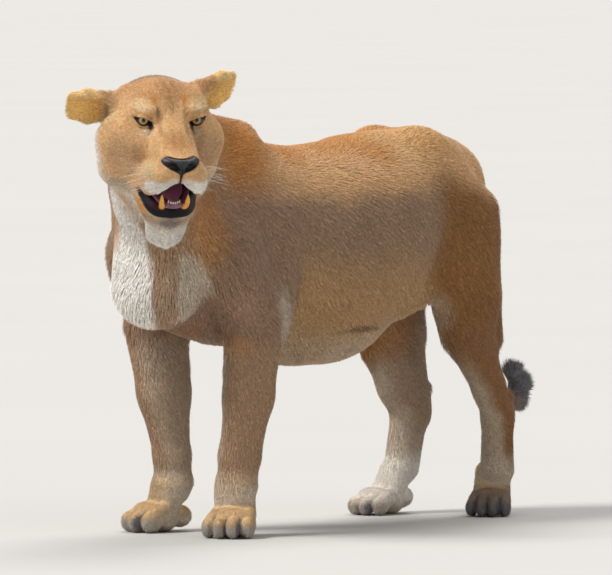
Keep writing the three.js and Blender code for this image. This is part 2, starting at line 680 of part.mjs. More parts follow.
// Tail in three lengths and its tuft
/** Rings round a curve through stations of [point, radius], between two of its stations. */
function tailRings(stations, first, last, start = 0) {
  const curve = new THREE.CatmullRomCurve3(stations.map(([point]) => new THREE.Vector3(...point)));
  const rings = [];
  const steps = TAIL_STEPS * (last - first);
  for (let s = 0; s <= steps; s++) {
    const place = first + s / TAIL_STEPS;
    const from = Math.min(Math.floor(place), stations.length - 2);
    const radius = THREE.MathUtils.lerp(stations[from][1], stations[from + 1][1], place - from);
    const centre = curve.getPoint(place / (stations.length - 1));
    const along = curve.getTangent(place / (stations.length - 1));
    if (s === 0) centre.addScaledVector(along, start);
    const across = new THREE.Vector3(1, 0, 0).addScaledVector(along, -along.x).normalize();
    const up = new THREE.Vector3().crossVectors(along, across);
    const ring = [];
    for (let i = 0; i < TAIL_SIDES; i++) {
      const angle = (2 * Math.PI * i) / TAIL_SIDES;
      const point = centre.clone().addScaledVector(across, radius * Math.cos(angle));
      ring.push(point.addScaledVector(up, radius * Math.sin(angle)));
    }
    rings.push(ring);
  }
  return rings;
}
const base = solid(loft(tailRings(TAIL, 0, 2))).intersect(tailKeep.shape(new THREE.Matrix4(), -GAP / 2));
place(root, "tail_base", faces(base), COAT);
place(root, "tail_middle", loft(tailRings(TAIL, 2, 4, GAP)), COAT);
place(root, "tail_end", loft(tailRings(TAIL, 4, 6, GAP)), COAT);
place(root, "tail_tuft", loft(tailRings(TAIL, 6, 10, GAP)), TIP);

// The origin is on the floor, under the middle of the whole.
const bounds = new THREE.Box3().setFromObject(root, true);
const middle = bounds.getCenter(new THREE.Vector3());
root.position.set(-middle.x, -middle.y, -bounds.min.z);

export default root;
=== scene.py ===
"""A lioness standing still, life size: skin, coat, eyes, nose, mouth and whiskers in a plain studio.

The flesh is one field of rounded lumps, negative inside. Its zero level is the outline of the coat's
tips. The skin is the level a coat's depth further in, and the coat is closed tufts that start on the
skin and lie along it. Anatomy is in millimetres, +Z up, facing -Y, her left side towards +X.
"""
from __future__ import annotations

import heapq
import logging
import math
from dataclasses import dataclass, field
from enum import Enum
from typing import Callable, Optional, Sequence

import bmesh
import bpy
import numpy as np
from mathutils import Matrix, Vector

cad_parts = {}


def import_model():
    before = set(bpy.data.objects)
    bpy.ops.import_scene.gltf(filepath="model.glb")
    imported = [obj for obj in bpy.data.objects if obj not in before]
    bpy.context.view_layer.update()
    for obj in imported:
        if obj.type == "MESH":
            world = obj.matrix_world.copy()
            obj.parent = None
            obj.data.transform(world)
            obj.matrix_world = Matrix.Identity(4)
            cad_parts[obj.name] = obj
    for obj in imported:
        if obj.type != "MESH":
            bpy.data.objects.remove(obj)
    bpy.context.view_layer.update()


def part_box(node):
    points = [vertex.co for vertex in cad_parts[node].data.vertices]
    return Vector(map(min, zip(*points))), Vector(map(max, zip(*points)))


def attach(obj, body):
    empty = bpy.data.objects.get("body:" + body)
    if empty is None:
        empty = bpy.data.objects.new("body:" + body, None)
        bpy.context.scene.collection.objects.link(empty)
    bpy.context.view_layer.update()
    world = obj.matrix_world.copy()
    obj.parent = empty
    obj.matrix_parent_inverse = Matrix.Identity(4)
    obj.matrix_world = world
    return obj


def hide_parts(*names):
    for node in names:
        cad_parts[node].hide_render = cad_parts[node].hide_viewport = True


logging.basicConfig(level=logging.INFO, format="%(message)s")
LOG = logging.getLogger("lioness")

Array = np.ndarray
Field = Callable[[Array], Array]
MM = 0.001
FAR = 1000.0
SEED = 7
CARVE = True
THIGH_LOW_X = 52.3  # where the body's frame has the left thigh's lowest x
BARREL_LOW_Y = -149.7  # where it has the barrel's lowest y


# ---- numbers and turns


def unit(vector: Sequence[float]) -> Array:
    """Scale a vector to length one."""
    v = np.asarray(vector, float)
    return v / np.linalg.norm(v)


def lengths(rows: Array) -> Array:
    """Give the length of each row."""
    return np.linalg.norm(rows, axis=1)


def normalized(rows: Array) -> Array:
    """Scale each row to length one."""
    return rows / np.maximum(np.linalg.norm(rows, axis=1, keepdims=True), 1e-9)


def turn(axis: str, degrees: float) -> Array:
    """Make a rotation about one of the axes.

    Args:
        axis: x, y or z.
        degrees: angle by the right-hand rule.

    Returns:
        The 3x3 matrix.
    """
    c, s = math.cos(math.radians(degrees)), math.sin(math.radians(degrees))
    rows = {
        "x": [[1, 0, 0], [0, c, -s], [0, s, c]],
        "y": [[c, 0, s], [0, 1, 0], [-s, 0, c]],
        "z": [[c, -s, 0], [s, c, 0], [0, 0, 1]],
    }
    return np.array(rows[axis], float)


def folded(points: Array) -> Array:
    """Fold points onto the left half, where x is positive."""
    return np.stack([np.abs(points[:, 0]), points[:, 1], points[:, 2]], 1)


def smooth_min(a: Array, b: Array, blend: float) -> Array:
    """Join two fields with a fillet."""
    h = np.maximum(blend - np.abs(a - b), 0) / blend
    return np.minimum(a, b) - h * h * h * blend / 6


def step(low: float, high: float, value: Array) -> Array:
    """Rise smoothly from 0 to 1 as value goes from low to high, or fall where high is the lower."""
    t = np.clip((value - low) / (high - low), 0, 1)
    return t * t * (3 - 2 * t)


def spread_out(mask: Array) -> Array:
    """Give a soft spot a flat middle."""
    return step(0.08, 0.5, mask)


def spot(points: Array, centre: Sequence[float], size: Sequence[float]) -> Array:
    """Give a soft round patch: 1 at its middle and 0 beyond its edge."""
    q = (points - np.asarray(centre)) / np.asarray(size)
    return step(1.0, 0.35, np.sqrt((q * q).sum(1)))


# ---- flesh


@dataclass(frozen=True)
class Lump:
    """A tapering rounded lump of flesh, or a hollow where carve is set."""

    start: tuple[float, float, float]  # one end of its middle line
    end: tuple[float, float, float]  # the other end
    size: tuple[float, float]  # half width and half depth at the start
    size_end: tuple[float, float]  # half width and half depth at the end
    blend: float  # width of the fillet with the lumps before it
    carve: bool = False  # True for a hollow

    def distance(self, p: Array) -> Array:
        """Give the lump's field.

        Args:
            p: points in the group's frame.

        Returns:
            Distances, negative inside.
        """
        along = np.subtract(self.end, self.start).astype(float)
        length = float(np.linalg.norm(along))
        axis = along / length if length > 0 else np.array([0, 0, 1.0])
        side = np.array([1.0, 0, 0])
        if length > 0:
            side = unit(side - axis * axis[0])
        q = p - np.array(self.start, p.dtype)
        t = np.zeros(len(p), p.dtype)
        if length > 0:
            t = np.clip((q @ axis.astype(p.dtype)) / length, 0, 1)
            q = q - (t * length)[:, None] * axis.astype(p.dtype)
        across = q @ side.astype(p.dtype)
        rest = np.maximum((q * q).sum(1) - across * across, 0)
        w = self.size[0] + (self.size_end[0] - self.size[0]) * t
        h = self.size[1] + (self.size_end[1] - self.size[1]) * t
        a = (across / w) ** 2
        b = rest / (h * h)
        k0 = np.sqrt(a + b)
        k1 = np.sqrt(a / (w * w) + b / (h * h)) + 1e-6
        return k0 * (k0 - 1) / k1


L = Lump


def ball(at: Sequence[float], size: Sequence[float], blend: float, carve: bool = False) -> Lump:
    """Make a lump that stands in one place."""
    return L(at, at, size, size, blend, carve)


@dataclass
class Flesh:
    """A group of lumps in a frame of its own."""

    lumps: Sequence[Lump]  # the lumps, in the order in which they are joined
    origin: Array = field(default_factory=lambda: np.zeros(3))  # the frame's place in the body
    turned: Array = field(default_factory=lambda: np.eye(3))  # the frame's axes as columns
    mirrored: bool = False  # True if the lumps also stand on the other side of the frame's middle plane
    reach: float = 60.0  # how far beyond its lumps the group is worked out

    def __post_init__(self) -> None:
        """Find the box round the lumps."""
        self.origin = np.asarray(self.origin, float)
        ends = []
        for lump in self.lumps:
            r = max(*lump.size, *lump.size_end)
            if not lump.carve:
                ends += [np.subtract(lump.start, r), np.subtract(lump.end, r)]
                ends += [np.add(lump.start, r), np.add(lump.end, r)]
        lo, hi = np.min(ends, axis=0), np.max(ends, axis=0)
        if self.mirrored:
            hi[0] = max(hi[0], -lo[0])
            lo[0] = -hi[0]
        self.lo, self.hi = lo - self.reach, hi + self.reach

    def local(self, p: Array) -> Array:
        """Change body points to the group's frame."""
        return (p - self.origin.astype(p.dtype)) @ self.turned.astype(p.dtype)

    def world(self, p: Sequence) -> Array:
        """Change points of the group's frame to the body's."""
        return np.asarray(p, float) @ self.turned.T + self.origin

    def distance(self, p: Array) -> Array:
        """Give the group's field, or a large number far from it.

        Args:
            p: points in the body's frame.

        Returns:
            Distances, negative inside.
        """
        q = self.local(p)
        near = ((q > self.lo) & (q < self.hi)).all(1)
        out = np.full(len(p), FAR, p.dtype)
        if not near.any():
            return out
        q = q[near]
        if self.mirrored:
            q[:, 0] = np.abs(q[:, 0])
        d = None
        for lump in self.lumps:
            e = lump.distance(q)
            if d is None:
                d = e
            elif lump.carve:
                d = -smooth_min(-d, e, lump.blend)
            else:
                d = smooth_min(d, e, lump.blend)
        out[near] = d
        return out


# Rounded lumps of flesh: start, end, (half width, half depth) at the start and at the end, blend.
HEAD = [
    L((0, 90, 0), (0, 148, -6), (90, 72), (94, 68), 40),  # braincase
    ball((0, 64, -5), (82, 54), 36),  # forehead
    L((42, 19, 14), (76, 34, 8), (24, 17), (20, 17), 26),  # brow
    L((66, 62, 12), (74, 120, 10), (32, 38), (30, 38), 40),  # temple
    L((78, 38, -24), (100, 88, -42), (25, 24), (26, 32), 30),  # cheekbone
    L((58, 28, -44), (90, 60, -60), (34, 34), (42, 44), 34),  # under the eye
    L((48, 6, -58), (76, 22, -98), (30, 28), (32, 36), 44),  # cheek
    L((98, 74, -72), (92, 84, -130), (42, 52), (44, 50), 50),  # chewing muscle
    L((98, 110, -82), (88, 118, -144), (49, 49), (46, 46), 44),  # ruff
    L((0, 60, -150), (0, 150, -130), (80, 50), (105, 80), 44),  # throat
    L((6, 16, -12), (8, -100, -66), (42, 26), (39, 21), 22),  # bridge
    L((0, 0, -70), (0, -92, -84), (58, 50), (48, 36), 28),  # upper jaw
    L((34, -98, -94), (46, -66, -114), (31, 31), (32, 44), 14),  # whisker pad
    L((50, -60, -118), (66, 5, -128), (20, 36), (20, 34), 20),  # upper lip
    ball((14, -116, -69), (25, 18), 10),  # nose
    ball((63, -8, 0), (27, 13), 12, CARVE),  # eye socket
]
JAW = [
    L((72, 56, -108), (44, -62, -140), (28, 32), (24, 32), 28),  # side of the jaw
    L((0, -80, -146), (0, -86, -206), (54, 32), (48, 32), 24),  # chin and beard
    ball((28, -80, -130), (28, 30), 20),  # lower lip
    L((0, -60, -156), (0, 80, -150), (46, 38), (66, 48), 30),  # floor of the mouth
]
MOUTH = [
    L((0, -125, -127), (0, -60, -124), (11, 17), (22, 20), 8),  # cleft of the upper lip
    L((0, -125, -150), (0, -60, -138), (38, 20), (39, 25), 10),  # opening
    L((0, -125, -158), (0, -45, -154), (66, 17), (62, 16), 12),  # parted lips
    L((0, -60, -138), (0, 10, -116), (50, 32), (40, 12), 10),  # back of the mouth
]
EAR = [
    L((0, 0, -20), (0, 0, 46), (38, 26), (49, 21), 20),  # root
    L((0, 0, 46), (0, 2, 82), (49, 21), (43, 15), 20),  # rounded tip
    L((0, -21, 12), (0, -18, 84), (31, 21), (39, 16), 8, CARVE),  # cup
]
TRUNK = [
    L((0, -480, 655), (0, -420, 680), (105, 135), (135, 211), 40),  # front of the chest
    L((0, -420, 680), (0, -320, 690), (135, 211), (150, 248), 40),  # brisket
    L((0, -320, 690), (0, -180, 672), (150, 248), (168, 236), 40),  # ribs at the elbow
    L((0, -180, 672), (0, -60, 650), (168, 236), (190, 248), 40),  # ribs
    L((0, -60, 650), (0, 40, 650), (190, 248), (203, 258), 40),  # belly
    L((0, 40, 650), (0, 180, 706), (203, 258), (194, 220), 40),  # flank
    L((0, 180, 706), (0, 290, 740), (194, 220), (164, 192), 40),  # loin
    L((0, 290, 740), (0, 390, 765), (164, 192), (140, 165), 40),  # hips
    L((0, 390, 765), (0, 480, 790), (140, 165), (112, 124), 40),  # croup
    L((0, -60, 550), (0, 0, 554), (210, 160), (206, 158), 60),  # paunch
    L((0, 400, 835), (0, 500, 800), (110, 100), (90, 90), 60),  # rump
    ball((70, 300, 860), (45, 45), 60),  # left hip bone
    ball((-70, 300, 860), (45, 45), 60),  # right hip bone
    L((44, -438, 934), (16, -280, 919), (54, 58), (46, 52), 60),  # withers
    L((16, -570, 584), (22, -540, 690), (108, 94), (110, 98), 60),  # breast
    L((0, -430, 770), (34, -560, 842), (136, 194), (110, 160), 60),  # neck
    L((34, -560, 842), (88, -660, 884), (110, 160), (98, 112), 60),  # nape
]
LEFT_HIND = [
    L((75, 330, 830), (100, 430, 690), (70, 115), (72, 125), 50),  # buttock
    L((105, 400, 700), (128, 440, 540), (76, 148), (64, 105), 40),  # thigh
    L((128, 420, 520), (125, 440, 470), (56, 80), (52, 78), 30),  # knee
    L((94, 518, 740), (119, 550, 430), (55, 52), (30, 30), 50),  # hamstring
    L((125, 450, 460), (120, 540, 310), (50, 78), (34, 46), 40),  # shank
    L((120, 540, 310), (118, 572, 245), (34, 46), (34, 42), 30),  # hock
    L((117, 600, 285), (117, 588, 230), (24, 26), (28, 30), 24),  # point of the hock
    L((118, 575, 235), (114, 580, 110), (38, 40), (42, 42), 30),  # foot
    L((125, 190, 540), (118, 310, 570), (28, 50), (28, 50), 50),  # flank fold
]
RIGHT_HIND = [
    L((-75, 330, 830), (-95, 390, 700), (70, 115), (72, 125), 50),  # buttock
    L((-100, 380, 700), (-112, 400, 560), (76, 140), (66, 125), 40),  # thigh
    L((-112, 395, 540), (-108, 440, 440), (60, 118), (50, 104), 30),  # knee
    L((-92, 500, 740), (-106, 520, 440), (55, 48), (28, 28), 50),  # hamstring
    L((-107, 450, 420), (-105, 480, 330), (49, 100), (38, 84), 40),  # shank
    L((-105, 480, 330), (-104, 512, 250), (38, 84), (38, 56), 30),  # hock
    L((-104, 560, 300), (-104, 545, 235), (24, 24), (28, 28), 24),  # point of the hock
    L((-104, 512, 245), (-103, 478, 112), (38, 56), (44, 44), 30),  # foot
    L((-120, 170, 540), (-112, 300, 560), (28, 50), (28, 50), 50),  # flank fold
]
FOREPAW = [
    L((0, 2, 105), (0, -10, 58), (47, 37), (52, 36), 20),  # above the toes
    ball((0, -14, 30), (54, 34), 20),  # pad
    ball((0, 34, 36), (38, 28), 24),  # heel
    ball((0, -50, 44), (56, 30), 20),  # knuckles
]
HINDPAW = [
    L((0, 40, 100), (0, 8, 56), (44, 40), (46, 34), 20),  # above the toes
    ball((0, 8, 30), (48, 34), 20),  # pad
    ball((0, 56, 40), (34, 28), 24),  # heel
    ball((0, -34, 42), (50, 27), 20),  # knuckles
]
# Middle line and radius of the tail; the tuft begins at the seventh station.
TAIL = [
    ((0, 520, 850), 34), ((4, 590, 800), 27), ((16, 630, 700), 21), ((26, 645, 560), 18),
    ((32, 652, 420), 16), ((34, 668, 325), 15), ((34, 705, 268), 16), ((34, 742, 270), 23),
    ((33, 762, 302), 24), ((32, 742, 330), 19), ((32, 716, 340), 8),
]
# Foreleg stations from the elbow down: point, (half width, half depth).
LEFT_FORE = [
    ((140, -362, 490), (60, 88)), ((132, -370, 330), (52, 68)), ((122, -390, 190), (47, 50)),
    ((120, -400, 125), (50, 42)), ((120, -410, 95), (50, 38)),
]
RIGHT_FORE = [
    ((-146, -380, 485), (63, 92)), ((-125, -376, 330), (50, 76)), ((-112, -362, 180), (45, 42)),
    ((-112, -358, 120), (49, 38)), ((-112, -365, 95), (49, 36)),
]

HEAD_AT = (232, -761, 979)  # midway between the eyes
HEAD_YAW = 55.0  # degrees to her left
HEAD_PITCH = 17.0  # degrees nose down
JAW_OPEN = 24.0
JAW_HINGE = (0, 85, -65)  # in the head's frame
EYE_AT = (63, 18, 0)  # left eye, in the head's frame
EYE_RADIUS = 17.7
SOLE = 0.4  # height of soles and lowest tufts over the floor
EAR_PLACES = (
    ((108, 138, 22), (85, 50, 3), (0.45, -0.8, -0.3)),
    ((-118, 130, -5), (-95, 22, -6), (-0.1, -0.9, -0.4)),
)  # root, tip from the root, and the way the cup opens, in the head's frame


@dataclass(frozen=True)
class Paw:
    """Where one paw stands."""

    at: tuple[float, float]  # its middle on the floor
    yaw: float  # degrees turned to her left
    fore: bool  # True for a forepaw


PAWS = (
    Paw((120, -402), 25, True),
    Paw((-121, -372), -22, True),
    Paw((112, 560), 32, False),
    Paw((-110, 424), -4, False),
)


@dataclass(frozen=True)
class Toes:
    """The toes of a paw, from the middle ones outwards."""

    spread: tuple[float, float]  # sideways place of the inner and the outer toes
    reach: tuple[float, float]  # how far forward they go
    root: tuple[float, float]  # fore-and-aft place and height of their roots
    height: float  # height of their tips
    size: tuple[tuple[float, float], tuple[float, float]]  # half width and half depth at root and tip

    def lumps(self) -> list[Lump]:
        """Make the four toes.

        Returns:
            One lump to a toe.
        """
        row = []
        for side, k in ((-1, 1), (-1, 0), (1, 0), (1, 1)):
            x = side * self.spread[k]
            start = (0.8 * x, self.root[0], self.root[1])
            row.append(L(start, (x, self.reach[k], self.height), *self.size, 9))
        return row


FORE_TOES = Toes((16, 46), (-84, -64), (-22, 54), 26, ((17, 22), (18, 27)))
HIND_TOES = Toes((14, 40), (-78, -58), (-10, 48), 23, ((15, 20), (16, 24)))


def tube(stations: Sequence, blend: float) -> list[Lump]:
    """Join stations of a middle line into lumps."""
    rows = [(point, size if isinstance(size, tuple) else (size, size)) for point, size in stations]
    return [L(a[0], b[0], a[1], b[1], blend) for a, b in zip(rows, rows[1:])]


def foreleg(side: int, stations: Sequence) -> list[Lump]:
    """Make the shoulder and the leg below it.

    Args:
        side: 1 for her left and -1 for her right.
        stations: the leg from the elbow down.

    Returns:
        The lumps from shoulder to wrist.
    """
    s = side
    return [
        L((s * 80, -320, 850), (s * 135, -440, 670), (44, 95), (50, 92), 50),  # shoulder blade
        L((s * 137, -440, 660), (s * 142, -345, 510), (56, 84), (58, 88), 50),  # upper arm
        L((s * 122, -265, 730), (s * 145, -300, 540), (48, 76), (45, 58), 40),  # triceps
        L((s * 75, -535, 790), (s * 142, -450, 620), (48, 68), (55, 68), 50),  # neck muscle
        *tube(stations, 28),
    ]


Region = Enum("Region", (
    "TRUNK", "FORELEG_LEFT", "FORELEG_RIGHT", "HINDLEG_LEFT", "HINDLEG_RIGHT", "HEAD", "JAW",
    "FOREPAW_LEFT", "FOREPAW_RIGHT", "HINDPAW_LEFT", "HINDPAW_RIGHT", "TAIL", "EAR_LEFT", "EAR_RIGHT",
), start=0)  # the parts of the body that the coat is sorted by


class Anatomy:
    """The lioness as fields in the body's frame."""

    def __init__(self) -> None:
        """Place every group of lumps."""
        head_turn = turn("z", HEAD_YAW) @ turn("x", HEAD_PITCH)
        jaw_turn = turn("x", JAW_OPEN)
        hinge = np.array(JAW_HINGE, float)
        self.head = Flesh(HEAD, HEAD_AT, head_turn, True)
        self.mouth = Flesh(MOUTH, HEAD_AT, head_turn, True)
        self.jaw = Flesh(JAW, head_turn @ (hinge - jaw_turn @ hinge) + HEAD_AT, head_turn @ jaw_turn, True)
        self.ears = [self.ear(*place) for place in EAR_PLACES]
        self.paws = [self.paw(paw) for paw in PAWS]
        self.tail = Flesh(tube(TAIL, 20))
        self.groups = [
            (Flesh(TRUNK), 1),
            (Flesh(foreleg(1, LEFT_FORE)), 40),
            (Flesh(foreleg(-1, RIGHT_FORE)), 40),
            (Flesh(LEFT_HIND), 36),
            (Flesh(RIGHT_HIND), 36),
            (self.head, 50),
            (self.jaw, 16),
            *[(paw, 14) for paw in self.paws],
            (self.tail, 30),
            *[(ear, 16) for ear in self.ears],
        ]

    def ear(self, root: Sequence[float], tip: Sequence[float], opening: Sequence[float]) -> Flesh:
        """Place one ear.

        Args:
            root: its root in the head's frame.
            tip: its tip from the root.
            opening: the way its cup opens.

        Returns:
            The ear's group.
        """
        z = unit(tip)
        y = -np.asarray(opening, float)
        y = unit(y - z * (y @ z))
        frame = np.stack([np.cross(y, z), y, z], 1)
        return Flesh(EAR, self.head.world(root), self.head.turned @ frame)

    def paw(self, paw: Paw) -> Flesh:
        """Place one paw."""
        pad, toes = (FOREPAW, FORE_TOES) if paw.fore else (HINDPAW, HIND_TOES)
        return Flesh([*pad, *toes.lumps()], (*paw.at, 0), turn("z", paw.yaw))

    def region(self, p: Array) -> Array:
        """Find the group that each point belongs to."""
        return np.stack([group.distance(p) for group, _ in self.groups]).argmin(0)

    def outline(self, p: Array) -> Array:
        """Give the coat's outer surface, with the mouth closed.

        Args:
            p: points.

        Returns:
            Distances, negative inside.
        """
        d = None
        for group, blend in self.groups:
            e = group.distance(p)
            d = e if d is None else smooth_min(d, e, blend)
        return d

    def opening(self, p: Array) -> tuple[Array, Array]:
        """Measure how deep points lie behind the lips.

        Args:
            p: points.

        Returns:
            Depths below the closed outline, and distances from the mouth's opening.
        """
        inside, mouth = np.zeros(len(p), np.float32), np.full(len(p), 99, np.float32)
        near = lengths(self.head.local(p) - np.array([0, -40, -130])) < 200
        mouth[near] = self.mouth.distance(p[near].astype(np.float32))
        inside[near] = -self.outline(p[near].astype(np.float32))
        return inside, mouth

    def depth(self, p: Array) -> Array:
        """Give the depth of the coat.

        Args:
            p: points.

        Returns:
            Millimetres from the skin to the coat's tips.
        """
        q = self.head.local(p)
        j = self.jaw.local(p)
        near_head = step(260, 200, lengths(q - np.array([0, 40, -60], p.dtype)))
        d = np.full(len(p), 4.0, p.dtype)
        d += (3.2 - d) * step(520, 360, p[:, 2])
        d += (2.2 - d) * step(150, 100, p[:, 2])
        under = step(500, 430, p[:, 2]) * step(150, 110, np.abs(p[:, 0])) * step(380, 420, p[:, 2])
        d += (7.0 - d) * under
        d += (6.0 - d) * step(-430, -520, p[:, 1]) * step(760, 660, p[:, 2]) * step(440, 500, p[:, 2])
        d += (1.8 - d) * near_head * step(90, 30, q[:, 1])
        d += (8.0 - d) * spot(np.abs(q) * np.array([1, 1, -1]), (104, 120, -130), (50, 60, 70))
        d += (8.5 - d) * spot(j, (0, -88, -214), (60, 46, 44))
        d += (0.8 - d) * step(14, 4, self.mouth.distance(p))
        d += (8.0 - d) * step(2, -2, nose_mask(q))
        tail = self.tail.distance(p) < 12
        d = np.where(tail & (p[:, 1] > 600), np.where(p[:, 1] + 0.25 * (330 - p[:, 2]) > 712, 8.5, 4.0), d)
        for ear in self.ears:
            d += (1.8 - d) * step(6, -2, ear.distance(p))
        return d

    def folds(self, p: Array) -> Array:
        """Give the creases that the skin adds.

        Args:
            p: points.

        Returns:
            Millimetres by which the skin dips.
        """
        dip = np.zeros(len(p), p.dtype)
        for a, b, width, deep in FOLDS:
            along = np.subtract(b, a).astype(p.dtype)
            t = np.clip(((p - np.array(a, p.dtype)) @ along) / (along @ along), 0, 1)
            gap = lengths(p - np.array(a, p.dtype) - t[:, None] * along)
            dip += deep * np.exp(-((gap / width) ** 2)) * np.sin(np.pi * np.clip(t * 0.9 + 0.05, 0, 1))
        return dip

    def skin(self, p: Array) -> Array:
        """Give the skin's surface, with the mouth open and the soles flat.

        Args:
            p: points.

        Returns:
            Distances, negative inside.
        """
        d = self.outline(p)
        near = np.abs(d) < 40
        if near.any():
            d[near] += self.depth(p[near]) + self.folds(p[near])
        d = -smooth_min(-d, self.mouth.distance(p), 8)
        return np.maximum(d, SOLE - p[:, 2])

    def skin_of_head(self, q: Array) -> Array:
        """Give the skin's field in the head's frame."""
        return self.skin(self.head.world(q).astype(np.float32))


def nose_mask(q: Array) -> Array:
    """Give the distance to the edge of the nose leather, seen from the front.

    Args:
        q: points in the head's frame.

    Returns:
        Distances, negative within it.
    """
    x = np.abs(q[:, 0])
    half = np.interp(q[:, 2], *NOSE_HALVES)
    mask = np.maximum(0.8 * (x - half), q[:, 2] + 52 - 0.07 * x)
    return np.maximum.reduce([mask, q[:, 1] + 103, -106 - q[:, 2]])


# Heights of the nose leather and its half widths there.
NOSE_HALVES = ((-98, -86, -80, -74, -67, -60, -54, -50), (1.4, 2.2, 9, 23, 37, 45, 47, 43))
# Creases of the skin: start, end, half width and depth.
FOLDS = (
    ((185, -235, 800), (176, -232, 560), 20, 5.0),  # behind the left shoulder
    ((-185, -235, 800), (-176, -232, 560), 20, 5.0),  # behind the right shoulder
    ((206, 236, 770), (176, 240, 560), 18, 5.0),  # in front of the left thigh
    ((-200, 236, 770), (-176, 240, 560), 18, 5.0),  # in front of the right thigh
    ((196, -330, 560), (190, -410, 500), 14, 4.0),  # at the left elbow
    ((-196, -330, 560), (-190, -410, 500), 14, 4.0),  # at the right elbow
    ((150, -520, 760), (186, -470, 600), 16, 4.0),  # in front of the left shoulder
    ((60, -600, 800), (120, -590, 640), 14, 3.0),  # down the throat
)


# ---- surfaces


@dataclass
class Surface:
    """Triangles of one surface."""

    points: Array  # the corners
    faces: Array  # three corners to a row

    def corners(self, values: Optional[Array] = None) -> tuple[Array, ...]:
        """Give the three corners of the faces, or the values that are kept there."""
        kept = self.points if values is None else values
        return tuple(kept[self.faces[:, k]] for k in range(3))

    def normals(self) -> Array:
        """Give the unit normals at the corners.

        Returns:
            One to a point.
        """
        a, b, c = self.corners()
        flat = np.cross(b - a, c - a)
        return normalized(self.gather(np.repeat(flat, 3, axis=0), self.faces.ravel()))

    def gather(self, values: Array, owners: Array) -> Array:
        """Add values up at the points."""
        count = len(self.points)
        return np.stack([np.bincount(owners, values[:, k], count) for k in range(values.shape[1])], 1)

    def edges(self) -> Array:
        """Give each edge once.

        Returns:
            Two corners to a row, the lower first.
        """
        pairs = np.concatenate([self.faces[:, [0, 1]], self.faces[:, [1, 2]], self.faces[:, [2, 0]]])
        pairs.sort(axis=1)
        keys = np.unique(pairs[:, 0] * len(self.points) + pairs[:, 1])
        return np.stack([keys // len(self.points), keys % len(self.points)], 1)

    def smoothed(self, values: Array, rounds: int, share: float = 0.5) -> Array:
        """Average values with those of the neighbours.

        Args:
            values: one row to a point.
            rounds: how many times.
            share: how much the neighbours count.

        Returns:
            The smoothed rows.
        """
        e = self.edges()
        owners = np.concatenate([e[:, 0], e[:, 1]])
        others = np.concatenate([e[:, 1], e[:, 0]])
        degree = np.maximum(np.bincount(owners, minlength=len(self.points)), 1)[:, None]
        for _ in range(rounds):
            values = values + share * (self.gather(values[others], owners) / degree - values)
        return values


def gradient(fn: Field, p: Array, h: float = 0.5) -> Array:
    """Find the slope of a field.

    Args:
        fn: the field.
        p: points.
        h: step of the difference.

    Returns:
        One slope to a point.
    """
    p = p.astype(np.float32)
    slopes = []
    for k in range(3):
        d = np.zeros(3, np.float32)
        d[k] = h
        slopes.append((fn(p + d) - fn(p - d)) / (2 * h))
    return np.stack(slopes, 1)


def settled(fn: Field, p: Array, rounds: int = 2, limit: float = 5.0) -> Array:
    """Move points onto a field's zero level.

    Args:
        fn: the field.
        p: points near the level.
        rounds: steps of Newton's method.
        limit: the longest step.

    Returns:
        The moved points.
    """
    for _ in range(rounds):
        g = gradient(fn, p)
        move = (fn(p.astype(np.float32)) / np.maximum((g * g).sum(1), 0.05))[:, None] * g
        long = np.linalg.norm(move, axis=1, keepdims=True)
        p = p - move * np.minimum(1, limit / np.maximum(long, 1e-9))
    return p


